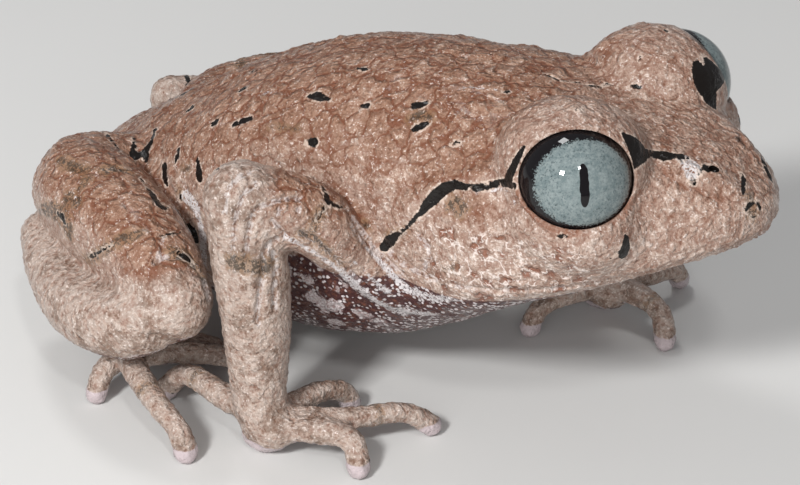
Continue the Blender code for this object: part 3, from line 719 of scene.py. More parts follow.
def sculpt(piece):
    mesh = piece.data
    coords, normals = placesAndNormals(mesh)
    tree = surfaceTree(piece)
    raised = np.zeros(len(coords))

    def stroke(samples, high, wide):
        reach = wide * 2.6  # the stroke has died away there
        if len(samples):
            away = nearest(coords, samples, reach)
            raised[:] += high * np.exp(-((np.maximum(away, 0) / wide) ** 2)) * (away < reach)

    onTrunk = trunkShare(coords, *relief["trunkFrom"])
    onHead = ease(coords[:, 0], *relief["headFrom"])
    calm = ease(eyeClearance(coords), *relief["calm"])  # no relief on the lids' rims
    # lumps and grain
    lumps = (swell(coords, relief["lumpSize"], relief["lumpSeed"]) - 0.5) * calm
    lumps *= relief["limbLumps"] + (1 - relief["limbLumps"]) * onTrunk
    raised += relief["lumpHigh"] * lumps * (1 - (1 - relief["headLumps"]) * onHead)
    shifts = [swell(coords, relief["warpSize"], seed) - 0.5 for seed in relief["warpSeeds"]]
    warp = coords + relief["warpFar"] * np.stack(shifts, axis=1)
    grains = cellCrowns(warp, relief["grainSize"], relief["grainSeed"])
    raised += relief["grainHigh"] * (grains - 0.5) * calm
    for side in (-1, 1):
        stroke(sideStroke(relief["earFold"], side), relief["earFoldHigh"], relief["earFoldWide"])
        stroke(sideStroke(relief["snoutEdge"], side), relief["snoutEdgeHigh"], relief["snoutEdgeWide"])
        stroke(sideStroke(relief["hollow"], side), -relief["hollowDeep"], relief["hollowWide"])
        place = tree.find_nearest(toSide(nostril["place"], side))[0]
        stroke(np.array([(*place, 0.0)]), relief["nostrilHigh"], relief["nostrilWide"])
    mouth = mouthLine()
    stroke(mouth, -relief["mouthDeep"], relief["mouthWide"])
    lip = nearest(coords, mouth, relief["lipTo"][1])
    beads = cellCrowns(coords, relief["lipSize"], relief["lipSeed"])
    raised += relief["lipHigh"] * beads * (1 - ease(lip, *relief["lipTo"])) * ease(lip, *relief["lipFrom"])
    for samples in veinStrokes(tree):
        stroke(samples, relief["veinHigh"], relief["veinWide"])
    for deep, wide, *line in creases.values():
        stroke(onSkin(tree, line, 0.0, step=2.0), -deep, wide)
    coords += normals * raised[:, None]
    mesh.vertices.foreach_set("co", coords.astype(np.float32).ravel())
    mesh.update()


def thinned(piece):
    share = skin["triangles"] / sum(len(face.vertices) - 2 for face in piece.data.polygons)
    applied(piece, ("DECIMATE", {"ratio": min(1.0, share), "use_collapse_triangulate": True}))


# Marks

# Drawn on the photo's pixels, as (x, y, half width in mm); those of head and trunk are copied
# to the far side
marks = {
    "black": (
        ((622, 133, 0.15), (638.4, 147, 0.8), (638, 154, 0.75)),
        (
            (640, 150, 0.6), (646, 153.5, 0.4), (651, 153.7, 0.3), (655, 154.7, 0.36), (664, 155.8, 0.42),
            (674, 155.8, 0.3), (687, 156.8, 0.28),
        ),
        ((634, 140, 0.3), (641, 148, 0.6), (645, 155, 0.45), (638, 160, 0.5)),
        ((623, 136, 0.12), (629, 143, 0.3), (633, 152, 0.4), (634.5, 161, 0.28), (634.5, 168, 0.1)),
        ((636, 160, 0.3), (633, 171, 0.12)),
        (
            (707.9, 161, 0.12), (703.7, 165.3, 0.12), (701.6, 170.5, 0.14), (697.4, 175.8, 0.16),
            (692, 182, 0.16),
        ),
        ((681, 157, 0.14), (682.6, 163, 0.12)),
        ((690, 181, 0.2), (695, 184, 0.14)),
        ((708, 168, 0.34), (712.5, 169.5, 0.46), (717, 171, 0.36)),
        ((741.6, 174.7, 0.2), (743.7, 180, 0.24), (743.5, 188, 0.2), (742.6, 195, 0.18)),
        ((745.8, 209.5, 0.2), (749, 205, 0.24)),
        ((753, 202, 0.2), (757, 203, 0.2), (760, 208, 0.16)),
        ((758, 214, 0.12), (752, 218, 0.16)),
        ((761.6, 156.8, 0.2), (766.8, 169.5, 0.25), (772, 181, 0.2)),
        ((626, 235, 0.1), (626, 241, 0.3), (625, 249, 0.55), (624, 255, 0.45)),
        ((616, 254, 0.08), (609, 259, 0.08)),
        ((557, 235, 0.14), (562, 236, 0.22), (567, 238, 0.12)),
        (
            (525.8, 144.2, 0.12), (520.5, 152.6, 0.3), (515.3, 163, 0.36), (510, 173.7, 0.45),
            (507.9, 181, 0.4),
        ),
        (
            (513.9, 186, 0.3), (507.9, 183, 0.4), (499, 183, 0.3), (487.4, 186, 0.28), (475.8, 188, 0.28),
            (465.8, 187, 0.28), (455.9, 184.5, 0.36), (444.3, 188.5, 0.48), (436, 196, 0.52),
            (427.7, 204.3, 0.42), (421, 212.6, 0.26), (414.4, 219.2, 0.2), (406, 227.5, 0.15),
            (397.8, 234, 0.22), (389.6, 241, 0.5), (384.6, 247.4, 0.4),
        ),
        ((542.6, 71.6, 0.14), (551, 77, 0.12), (560.5, 81, 0.06)),
        ((567, 81, 0.12), (579.5, 83, 0.14)),
        ((585, 85, 0.06), (592, 86, 0.15), (598.4, 87.4, 0.14), (606.8, 84, 0.15), (617.4, 87.4, 0.05)),
        ((628, 88, 0.06), (634, 86, 0.2), (639, 87, 0.2)),
        ((578, 109.5, 0.22), (581, 109.5, 0.22)),
        ((640.5, 57, 0.12), (640, 61, 0.14)),
        ((645, 71, 0.06), (641, 73, 0.05)),
        ((504, 91.6, 0.16), (508, 91.8, 0.2)),
        ((698, 66, 0.5), (701, 74, 0.8), (706, 84, 1.0), (711, 98, 0.7), (713, 105, 0.4)),
        ((309, 96, 0.2), (315.8, 95.7, 0.45), (322, 98, 0.34), (330, 99.8, 0.12)),
        ((361, 106.4, 0.2), (367, 105.5, 0.28)),
        ((358, 68, 0.16), (366, 69.5, 0.26)),
        ((414, 106, 0.3), (420, 105, 0.3), (427, 102.5, 0.22)),
        ((414, 128, 0.3), (420, 127, 0.32), (429, 122.5, 0.14)),
        ((397, 137, 0.1), (400, 136.6, 0.14)),
        ((453, 144, 0.22), (458, 143.5, 0.24)),
        ((307, 142, 0.24), (314, 142.4, 0.4)),
        ((241, 90, 0.28), (245, 87.5, 0.28)),
        ((213, 124, 0.28), (217, 121.5, 0.28)),
        ((233, 124.5, 0.22), (241, 121.5, 0.28), (250, 119, 0.28)),
        ((187, 111.5, 0.3), (192, 107.5, 0.28)),
        ((176, 97.5, 0.18), (183, 94, 0.24), (196, 87, 0.12)),
        ((155, 130, 0.25), (153, 137, 0.28), (149, 145, 0.25), (145, 153, 0.4), (147, 160, 0.26)),
        ((134.5, 139, 0.2), (134, 149, 0.26), (133, 157.6, 0.34), (144, 153, 0.3)),
        ((178.8, 149, 0.22), (177, 157, 0.26), (175, 164, 0.1)),
        ((164, 166, 0.34), (165, 176, 0.36), (167, 186, 0.14)),
        ((197, 158, 0.1), (198.5, 168, 0.34), (199.5, 177, 0.4), (200.5, 182, 0.12)),
        ((214, 171, 0.16), (218, 169, 0.22)),
        ((181, 190, 0.1), (180.5, 200, 0.14)),
        ((202, 216, 0.2), (203, 220, 0.2)),
        ((250, 71.5, 0.12), (256, 71, 0.2)),
        ((102, 131, 0.16), (108, 136, 0.24), (116, 146, 0.16), (122, 153, 0.12)),
        (
            (138, 174, 0.14), (147, 187, 0.2), (154, 197, 0.34), (160, 206, 0.36), (165, 208, 0.24),
            (171, 206, 0.12),
        ),
        ((175, 207, 0.28), (181, 216, 0.42), (187, 226, 0.5), (192, 233, 0.72), (196, 241, 0.32)),
        ((161, 236, 0.1), (175, 233.5, 0.14), (188.4, 233, 0.18)),
    ),
    "black limb": (
        ((322.7, 187, 0.16), (326, 196, 0.28), (329, 203, 0.24), (337, 206, 0.2), (345, 207.5, 0.1)),
        ((327, 203, 0.18), (323, 211, 0.1), (318, 218, 0.12), (313, 230, 0.06)),
        ((58, 213, 0.2), (62, 217, 0.34), (65, 223, 0.2)),
        ((172, 393, 0.14), (173, 394, 0.14)),
        ((366, 462, 0.12), (370, 461, 0.14)),
        ((112, 245, 0.1), (100, 251, 0.16), (92, 256, 0.24), (86, 260, 0.1)),
        ((179, 253, 0.2), (187, 258, 0.24), (193, 266, 0.1)),
    ),
    "olive": (
        ((36, 210, 0.5), (52, 210, 0.8), (62, 216, 0.9), (68, 228, 0.8), (70, 238, 0.4)),
        ((172, 250, 0.5), (184, 256, 0.7), (194, 267, 0.5), (204, 281, 0.3)),
        ((60, 160, 0.4), (74, 168, 0.6), (88, 170, 0.4)),
        ((228, 262, 0.4), (236, 263, 0.75), (250, 266, 0.6), (263, 267, 0.7), (272, 262, 0.3)),
        ((327, 205, 0.35), (319, 216, 0.45), (312, 232, 0.35)),
        ((301, 233, 0.35), (309, 235, 0.4), (317, 240, 0.35), (328, 251, 0.25), (341, 264, 0.15)),
        ((365.8, 224.6, 0.32), (367, 226, 0.3)),
        ((104, 171, 0.6), (116, 168, 0.45), (129, 171, 0.35)),
        ((87, 180, 0.45), (80, 188, 0.4)),
        ((68, 198, 0.7), (76, 202, 0.6)),
        ((52, 212, 0.5), (45, 214, 0.4)),
        (
            (142.4, 232, 0.35), (130, 238, 0.6), (123, 238, 0.5), (112, 246, 0.5), (100, 252, 0.55),
            (87, 260, 0.5),
        ),
        ((182, 170, 0.3), (190, 168, 0.3)),
        ((449, 206, 0.5), (456, 202, 0.55), (464, 208, 0.45), (458, 213, 0.4)),
        ((412, 118, 0.45), (422, 114, 0.5), (429, 118, 0.4)),
        ((446, 268, 0.25), (456, 267, 0.28)),
        ((389, 238, 0.5), (404, 231, 0.3)),
        ((747, 194, 0.3), (753, 205, 0.4), (752, 214, 0.5)),
        ((178, 191, 0.3), (192, 206, 0.3)),
        ((270, 126, 0.2), (300, 130, 0.25)),
    ),
    "white": (
        (
            (476, 191.6, 0.1), (487, 191, 0.14), (500, 189.6, 0.14), (508, 190, 0.14), (512, 195, 0.12),
            (515, 204, 0.1),
        ),
        (
            (286, 236, 0.3), (303, 246, 0.24), (324, 259, 0.24), (341, 272, 0.3), (357, 288, 0.45),
            (372, 299, 0.5),
        ),
        ((372, 299, 0.5), (391, 309, 0.6), (412, 312, 0.6), (436, 314, 0.35)),
        (
            (366, 248, 0.12), (380, 262, 0.24), (394, 276, 0.34), (410, 290, 0.5), (432, 298, 0.45),
            (458, 300, 0.2),
        ),
        ((354, 262, 0.1), (372, 280, 0.2), (388, 292, 0.3)),
        ((352, 216, 0.08), (359, 224, 0.1), (366, 233, 0.06)),
        ((186, 196, 0.6), (196, 208, 0.5), (200, 222, 0.3)),
        ((201, 226, 0.4), (203, 240, 0.5), (203, 256, 0.45), (206, 268, 0.25)),
        ((680, 160, 0.3), (688, 162, 0.7), (693, 168, 0.75), (692, 176, 0.5)),
        ((262, 95, 0.16), (275, 90, 0.14)),
        ((456, 88, 0.08), (480, 88, 0.1), (498, 90, 0.05)),
        ((75, 199, 0.2), (77, 206, 0.14)),
    ),
}


rings = {
    # crossbars round the limbs: limb, share of its length, half width in mm
    "olive": (
        ("upperArm", 0.55, 0.5), ("forearm", 0.32, 0.55), ("forearm", 0.72, 0.35), ("thigh", 0.3, 0.6),
        ("thigh", 0.52, 0.5), ("thigh", 0.76, 0.5), ("shank", 0.2, 0.45), ("shank", 0.45, 0.6),
        ("shank", 0.7, 0.5), ("tarsus", 0.35, 0.35), ("tarsus", 0.75, 0.35), ("finger4", 0.5, 0.3),
        ("toe4", 0.45, 0.3), ("finger2", 0.5, 0.25),
    ),
    "black": (("shank", 0.94, 0.3), ("thigh", 0.97, 0.25)),
}
# How far below the trunk's widest line the dark belly colour starts, by x; near x -8 to -2 it starts higher,
# as painted shadow of the arm on the flank
bellyAndShadeEdge = {
    -34: 2.0, -26: 5.0, -18: 6.5, -12: 5.0, -8: 1.6, -2: 0.8, 3: 2.4, 8: 3.4, 16: 3.4, 24: 2.6, 30: 1.6,
}
zones = {
    # where each begins and is full: mm along x or from a surface, or how far the skin faces up or down
    "onTrunk": (0.0, 0.8),
    "belly": (-0.9, 0.9),
    "limbUnder": (0.35, 0.85),
    "limbUnderShare": 0.72,
    "chest": (-3.0, 3.0),
    "facesUp": (0.1, 0.8),
    "limbBack": 0.15,  # share of the back's darker tones, partly its own colour and partly painted shade, that limbs, head and lids have
    "head": (10.0, 16.0),
    "headBack": 0.5,
    "lid": (0.5, 3.0),
    "lidBack": 0.3,
    "cheek": (4.0, 8.0),
    "cheekTop": (-5.0, -2.0),  # below the trunk's widest line
    "snout": (18.0, 23.0),
    "snoutCheek": 0.4,
    "tipPad": 1.7,  # reach of the bare cushion under a tip and under a palm
    "palmPad": 2.6,
    "palmHeight": 0.6,
    "padEdge": 0.5,
    "padSquash": 0.9,  # stretches the cushions upwards where it is below 1
    "padHigh": (1.15, 1.75),
    "rim": (0.2, 0.9),
    "markReach": 3.0,  # distances to marks and folds are written up to these
    "creaseReach": 1.0,
    "copyTo": 0.5,  # marks of the right side up to this y are repeated on the left, from the second y on
    "copyFrom": 5.5,
}


def limbRing(stations, share, width):
    # points round a limb at this share of its length
    path = splinePath(stations)
    i = min(round(share * (len(path) - 1)), len(path) - 2)
    return np.array([(*point, width) for point in circleRound(path[i], path[i + 1] - path[i], 24)])


def drawnStrokes(tree, kind):
    # all strokes of a kind, those of head and trunk also on the far side
    for name in (kind, kind + " limb"):
        for line in marks.get(name, ()):
            samples = onSkin(tree, line)
            if not len(samples):
                continue
            yield samples
            copied = []
            for x, y, z, width in samples:
                if name == kind and y < zones["copyTo"]:
                    place = tree.find_nearest(Vector((x, -y, z)))[0]
                    if place.y > zones["copyFrom"]:
                        copied.append((*place, width))
            if copied:
                yield np.array(copied)
    for limbs, digits in bothSides:
        for limb, share, width in rings.get(kind, ()):
            seen = limbs is rightLimbs and limb in ("upperArm", "forearm", "thigh", "shank")
            if not seen:
                yield limbRing({**limbs, **digits}[limb], share, width)


def drawMarks(piece):
    # writes what the finish reads: distances to marks in mm, and shares from 0 to 1,
    # with the lid's share below 0 along its lower rim
    mesh = piece.data
    coords, normals = placesAndNormals(mesh)
    tree = surfaceTree(piece)
    values = {}
    reach = zones["markReach"]
    for kind in ("black", "olive", "white"):
        values[kind] = np.full(len(coords), reach)
        for samples in drawnStrokes(tree, kind):
            values[kind] = np.minimum(values[kind], nearest(coords, samples, reach))
    reach = zones["creaseReach"]
    # distances to the mouth's slit and the folds, which carry painted shade and highlights
    values["crease"] = nearest(coords, mouthLine(), reach)
    for _, _, *line in creases.values():
        samples = onSkin(tree, line, 0.0)
        if len(samples):
            values["crease"] = np.minimum(values["crease"], nearest(coords, samples, reach))
    alongX, heights = coords[:, 0], coords[:, 2]
    below = widestHeight(alongX) - heights
    onTrunk = trunkShare(coords, *zones["onTrunk"])
    values["limb"] = 1 - onTrunk
    belly = ease(below - np.interp(alongX, list(bellyAndShadeEdge), list(bellyAndShadeEdge.values())), *zones["belly"])
    # limb skin facing down takes the dark belly colour: partly its own darker underside, partly painted
    # shade
    limbUnder = ease(-normals[:, 2], *zones["limbUnder"]) * values["limb"]
    values["under"] = np.maximum(belly * onTrunk, zones["limbUnderShare"] * limbUnder)
    values["chest"] = ease(alongX, *zones["chest"])
    # skin that faces up gets the back's darker tones: partly the back's own colour, partly painted shade
    values["back"] = ease(normals[:, 2], *zones["facesUp"])
    values["back"] *= zones["limbBack"] + (1 - zones["limbBack"]) * onTrunk
    values["back"] *= 1 - (1 - zones["headBack"]) * ease(alongX, *zones["head"])
    values["back"] *= zones["lidBack"] + (1 - zones["lidBack"]) * ease(eyeClearance(coords), *zones["lid"])
    values["cheek"] = ease(alongX, *zones["cheek"]) * ease(below, *zones["cheekTop"]) * onTrunk
    values["cheek"] *= 1 - (1 - zones["snoutCheek"]) * ease(alongX, *zones["snout"])
    values["pad"] = np.zeros(len(coords))
    low = 1 - ease(heights, *zones["padHigh"])
    for limbs, digits in bothSides:
        x, y, _, _ = limbs["palm"][1]
        spots = [(stations[-1][:3], zones["tipPad"]) for stations in digits.values()]
        for place, reach in [*spots, ((x, y, zones["palmHeight"]), zones["palmPad"])]:
            gap = np.linalg.norm((coords - place) * (1, 1, zones["padSquash"]), axis=1)
            bare = 1 - ease(gap, reach - zones["padEdge"], reach)
            values["pad"] = np.maximum(values["pad"], bare * low)
    values["lid"] = np.zeros(len(coords))
    for side in (-1, 1):
        for way in (-1, 1):
            rim = [(*rimPoint(side, way * angle), 0.0) for angle in np.linspace(0, math.pi, 60)]
            away = nearest(coords, np.array(rim), zones["rim"][1])
            values["lid"] += way * (1 - ease(away, *zones["rim"]))
    for name, numbers in values.items():
        mesh.attributes.new(name, "FLOAT", "POINT").data.foreach_set("value", numbers.astype(np.float32))


# Finishes


class Wire:
    # one output of a node; sums and products of it add Math nodes
    def __init__(self, finish, socket):
        self.finish = finish
        self.socket = socket

    def math(self, operation, *values):
        return self.finish.node("Math", {"operation": operation}, dict(enumerate(values)))

    def perCell(self):
        # a random value for each cell, where this is a pattern of cells
        colour = Wire(self.finish, self.socket.node.outputs["Color"])
        return self.finish.node("SeparateColor", {}, {0: colour})

    def root(self):
        return self.math("SQRT", self)

    def __abs__(self):
        return self.math("ABSOLUTE", self)

    def __add__(self, other):
        return self.math("ADD", self, other)

    __radd__ = __add__

    def __sub__(self, other):
        return self.math("SUBTRACT", self, other)

    def __rsub__(self, other):
        return self.math("SUBTRACT", other, self)

    def __mul__(self, other):
        return self.math("MULTIPLY", self, other)

    __rmul__ = __mul__


class Finish:
    # one material; constant values of its shader are given as a dictionary
    def __init__(self, name, constants):
        self.material = bpy.data.materials.new(name)
        self.material.use_nodes = True
        self.tree = self.material.node_tree
        self.shader = self.tree.nodes["Principled BSDF"]
        for key, value in constants.items():
            self.shader.inputs[key].default_value = value

    def node(self, kind, settings, values, out=0):
        made = self.tree.nodes.new("ShaderNode" + kind)
        for key, value in settings.items():
            setattr(made, key, value)
        for key, value in values.items():
            self.join(value, made.inputs[key])
        return Wire(self, made.outputs[out])

    def join(self, value, socket):
        if isinstance(value, Wire):
            self.tree.links.new(value.socket, socket)
        elif socket.type == "RGBA":
            socket.default_value = (*value, 1.0)
        else:
            socket.default_value = value

    def feed(self, **values):
        # links to the shader, each named as its socket without spaces
        for socket in self.shader.inputs:
            if socket.name.replace(" ", "") in values:
                self.join(values[socket.name.replace(" ", "")], socket)

    def millimetres(self):
        place = self.node("TexCoord", {}, {}, "Object")
        return self.node("VectorMath", {"operation": "SCALE"}, {0: place, "Scale": 1 / mm})

    def noise(self, place, scale, detail=2.0, rough=0.5, out=0):
        values = {"Vector": place, "Scale": scale, "Detail": detail, "Roughness": rough}
        return self.node("TexNoise", {}, values, out)

    def cells(self, place, scale, **settings):
        return self.node("TexVoronoi", settings, {"Vector": place, "Scale": scale})

    def step(self, value, low, high):
        # 0 at low and 1 at high, eased between them
        span = {"Value": value, "From Min": low, "From Max": high}
        return self.node("MapRange", {"interpolation_type": "SMOOTHSTEP"}, span)

    def mix(self, share, first, second):
        # sockets 0, 6 and 7 and output 2 are a Mix node's for colours
        return self.node("Mix", {"data_type": "RGBA"}, {0: share, 6: first, 7: second}, out=2)

    def drawn(self, name):
        # an attribute that the piece carries
        return self.node("Attribute", {"attribute_name": name}, {}, "Fac")

    def shifted(self, place, way, share):
        # place moved along a colour or vector that has 0.5 as its middle
        centred = self.node("VectorMath", {"operation": "SUBTRACT"}, {0: way, 1: (0.5, 0.5, 0.5)})
        scaled = self.node("VectorMath", {"operation": "SCALE"}, {0: centred, "Scale": share})
        return self.node("VectorMath", {"operation": "ADD"}, {0: place, 1: scaled})

    def bumped(self, height):
        # height in millimetres
        return self.node("Bump", {}, {"Strength": 1.0, "Distance": mm, "Height": height})


skinShader = {"IOR": 1.42, "Specular IOR Level": 0.3, "Coat Roughness": 0.16, "Coat IOR": 1.35}
tones = {
    # dark, middle and light of the ground colour, on the back and on the sides; the back's are darker,
    # partly the back's own colour and partly painted shade on skin that faces up
    "backDark": (0.18, 0.086, 0.052),
    "backMiddle": (0.295, 0.165, 0.110),
    "backLight": (0.46, 0.315, 0.240),
    "sideDark": (0.23, 0.128, 0.092),
    "sideMiddle": (0.39, 0.278, 0.225),
    "sideLight": (0.60, 0.490, 0.425),
    "line": (0.17, 0.062, 0.032),
    "pit": (0.23, 0.085, 0.048),
    "rust": (0.22, 0.085, 0.045),
    # painted shade in folds and the mouth's slit
    "fold": (0.12, 0.058, 0.040),
    "limb": (0.47, 0.395, 0.345),
    "limbDark": (0.15, 0.095, 0.065),
    # pale worm ridges, and painted glints
    "lightGrain": (0.80, 0.70, 0.65),
    # white frost marks, and painted highlights along folds
    "frost": (0.66, 0.62, 0.62),
    "black": (0.008, 0.006, 0.005),
    "cream": (0.68, 0.55, 0.46),
    "olive": (0.048, 0.032, 0.018),
    "ochre": (0.33, 0.22, 0.12),
    # dark belly, throat and undersides: partly their own colour, partly painted shade under the jaw, the arm
    # and the limbs
    "belly": (0.070, 0.028, 0.028),
    "bellyRust": (0.19, 0.075, 0.045),
    "bellySpot": (0.74, 0.68, 0.68),
    "bellyPink": (0.42, 0.30, 0.29),
    "pad": (0.50, 0.42, 0.43),
}
density = {
    # features of each pattern to the millimetre
    "warp": 0.8,
    "blotch": 0.5,
    "mottle": 1.9,
    "fine": 5.2,
    "leather": 0.5,
    "domes": 1.5,
    "grains": 2.7,
    "cheekPits": 0.56,
    "worms": 0.9,
    "bellySpots": 0.52,
}
cellBend = 1.4  # mm by which the leathery cells are bent
cover = {
    # how strongly a layer of paint hides those under it
    "seams": 0.35,
    "limb": 0.6,
    "limbDark": 0.5,
    "pitRims": 0.45,
    "pits": 0.75,
    "worms": 0.75,
    "glints": 0.6,
    # painted highlights along folds, then painted shade inside them
    "foldEdges": 0.4,
    "folds": 0.75,
    "bellyRust": 0.7,
    "dots": 0.9,
    "ochre": 0.3,
    "olive": 0.85,
    "white": 0.85,
    "lowerLid": 0.6,
    "cream": 0.6,
}
bumps = {
    # heights in mm
    "leather": 0.16,
    "domes": 0.12,
    "mottle": 0.2,
    "fine": 0.14,
    "dots": 0.12,
    "pits": 0.12,
}
shine = {
    # roughness of dry skin, then what each of these takes from it
    "rough": 0.4,
    "wet": 0.1,
    "glint": 0.1,
    "black": 0.16,
    "pad": 0.1,
    "coat": 0.12,  # of dry skin, and what wet skin adds
    "wetCoat": 0.3,
}


class SkinPaint(Finish):
    # the patterns that the layers share, and the layers, which are laid on one over the other
    def __init__(self):
        super().__init__("skin", skinShader)
        place = self.millimetres()
        self.warp = self.shifted(place, self.noise(place, density["warp"], 1, out="Color"), cellBend)
        self.blotch = self.noise(place, density["blotch"], 3, 0.65)
        self.mottle = self.noise(place, density["mottle"], 2, 0.62)
        self.fine = self.noise(place, density["fine"], 2, 0.65)
        self.ragged = (self.mottle - 0.5) * 0.5 + (self.fine - 0.5) * 0.45
        self.leather = self.cells(self.warp, density["leather"], feature="DISTANCE_TO_EDGE")
        self.domes = self.cells(self.warp, density["domes"])
        self.grains = self.cells(place, density["grains"])
        for name in "back limb cheek crease under chest black olive white lid pad".split():
            setattr(self, name, self.drawn(name))

    def lay(self, share, tone):
        self.colour = self.mix(share, self.colour, tone)

    def ground(self):
        tone = 0.5 + (self.blotch - 0.5) * 0.9 + (self.mottle - 0.5) * 0.8 + (self.fine - 0.5) * 1.25
        tone = tone + (self.domes.perCell() - 0.5) * 0.16 + self.cheek * 0.13
        # the back's tones are darker: partly its own colour, partly painted shade where the skin faces up
        dark = self.mix(self.back, tones["sideDark"], tones["backDark"])
        middle = self.mix(self.back, tones["sideMiddle"], tones["backMiddle"])
        light = self.mix(self.back, tones["sideLight"], tones["backLight"])
        self.colour = self.mix(self.step(tone, 0.16, 0.5), dark, middle)
        self.lay(self.step(tone, 0.5, 0.9), light)

    def leatherLines(self):
        # thin red-brown lines round leathery cells, and darker seams between the small domes
        broken = self.step(self.blotch + self.ragged * 0.5, 0.72, 0.54)
        self.lay(self.step(self.leather, 0.085, 0.02) * broken * (self.back * 0.75 + 0.2), tones["line"])
        self.lay(self.step(self.domes, 0.5, 0.8) * cover["seams"], tones["line"])

    def limbGrey(self):
        patches = self.step(self.blotch + self.ragged * 0.5, 0.5, 0.36)
        self.lay(self.limb * self.step(self.mottle, 0.25, 0.65) * cover["limb"], tones["limb"])
        self.lay(self.limb * patches * cover["limbDark"], tones["limbDark"])

    def cheekPits(self):
        # pits, and worm-like ridges painted bright, partly their pale colour and partly painted glints; the
        # pits seen square on from the side
        sideways = self.node("Mapping", {}, {"Vector": self.warp, "Rotation": (math.pi / 2, 0, 0)})
        holes = self.cells(sideways, density["cheekPits"], voronoi_dimensions="2D")
        pitted = self.step(self.cheek, 0.5, 0.8)
        self.pit = self.step(holes + self.ragged * 0.3, 0.25, 0.1) * pitted
        rims = self.step(holes + self.ragged * 0.5, 0.46, 0.2) * pitted
        self.lay(rims * cover["pitRims"], tones["sideDark"])
        self.lay(self.pit * cover["pits"], tones["pit"])
        worms = abs(self.noise(self.warp, density["worms"], 1) - 0.5)
        worm = self.step(worms, 0.04, 0.012) * self.step(self.mottle, 0.44, 0.52) * pitted
        self.lay(worm * cover["worms"], tones["lightGrain"])

    def paintedGlints(self):
        # painted highlights: pale specks that stand for wet glints on the grain
        self.glint = self.step(self.fine + (self.mottle - 0.5) * 0.4, 0.62, 0.7)
        self.lay(self.glint * cover["glints"], tones["lightGrain"])

    def folds(self):
        # painted shade inside the folds and the mouth's slit, and painted highlights along their edges
        fold = self.crease + self.ragged * 0.1
        edges = self.step(fold, 0.34, 0.22) * self.step(self.mottle, 0.44, 0.56)
        self.lay(edges * cover["foldEdges"], tones["frost"])
        self.lay(self.step(fold, 0.16, 0.04) * cover["folds"], tones["fold"])

    def underside(self):
        # belly, chest and throat, and limb skin that faces down, dark with rust, spots and dots: the dark is
        # partly their own colour, partly painted shade
        rust = self.step(self.mottle, 0.45, 0.7) * cover["bellyRust"]
        belly = self.mix(rust, tones["belly"], tones["bellyRust"])
        spot = self.mix(self.step(self.fine, 0.36, 0.6), tones["bellyPink"], tones["bellySpot"])
        spots = self.cells(self.warp, density["bellySpots"]) + self.ragged * 0.7
        belly = self.mix(self.step(spots, 0.46, 0.36) * (0.95 - self.chest), belly, spot)
        chosen = self.step(self.grains.perCell() + self.mottle * 0.6 + self.chest * 0.2, 0.94, 1.02)
        self.dots = self.step(self.grains + self.ragged * 0.15, 0.56, 0.4) * chosen
        belly = self.mix(self.dots * cover["dots"], belly, tones["bellySpot"])
        self.lay(self.step(self.under + self.ragged * 0.9, 0.4, 0.6), belly)

    def markings(self):
        flecks = self.step(self.fine + self.mottle, 0.9, 1.06)
        ochre = self.step(self.olive + self.ragged, 0.4, 0.1) * (1 - flecks)
        self.lay(ochre * cover["ochre"], tones["ochre"])
        olive = self.step(self.olive + self.ragged * 1.4, 0.16, -0.12) * flecks
        self.lay(olive * cover["olive"], tones["olive"])
        white = self.step(self.white + self.ragged * 1.1, 0.08, -0.05) * self.step(self.fine, 0.38, 0.48)
        self.lay(white * cover["white"], tones["frost"])
        self.lay(self.step(self.lid + self.ragged * 0.8, -0.5, -0.95) * cover["lowerLid"], tones["rust"])
        away = self.black + self.ragged * 0.42
        pale = self.step(away, 0.22, 0.12) * self.step(self.mottle, 0.44, 0.54)
        self.lay(pale * cover["cream"], tones["cream"])
        self.inked = self.step(away, 0.05, -0.02)
        self.lay(self.inked, tones["black"])

    def cushions(self):
        # under tips and palms
        self.bare = self.step(self.pad + (self.fine - 0.5) * 0.2, 0.4, 0.65)
        self.lay(self.bare, tones["pad"])

    def height(self):
        height = self.step(self.leather, 0.0, 0.2) * self.back * bumps["leather"]
        height = height + self.step(self.domes, 0.8, 0.0) * bumps["domes"]
        height = height + (self.mottle - 0.5) * bumps["mottle"] + (self.fine - 0.5) * bumps["fine"]
        height = height + self.dots * self.under * bumps["dots"] - self.pit * bumps["pits"]
        return height * (1 - self.inked * 0.6 - self.bare * 0.4)


def skinFinish():
    paint = SkinPaint()
    paint.ground()
    paint.leatherLines()
    paint.limbGrey()
    paint.cheekPits()
    paint.paintedGlints()
    paint.folds()
    paint.underside()
    paint.markings()
    paint.cushions()
    wet = paint.step(paint.blotch, 0.42, 0.6)
    rough = shine["rough"] - wet * shine["wet"] - paint.glint * shine["glint"]
    rough = rough - paint.inked * shine["black"] - paint.bare * shine["pad"]
    coat = wet * shine["wetCoat"] + shine["coat"]
    paint.feed(BaseColor=paint.colour, Roughness=rough, CoatWeight=coat, Normal=paint.bumped(paint.height()))
    return paint.material


eyeShader = {"Specular IOR Level": 0.0, "Coat Weight": 1.0, "Coat Roughness": 0.015, "Coat IOR": 1.38}
eyeDensity = {"grain": 22, "fibre": 9, "tuft": 30, "specks": 42, "waver": 6}  # features to the ball's radius
eyeTones = {
    "irisDark": (0.135, 0.172, 0.175),
    "irisLight": (0.205, 0.242, 0.24),
    "thread": (0.33, 0.37, 0.365),
    "speck": (0.035, 0.05, 0.055),
    "black": (0.006, 0.005, 0.006),
}


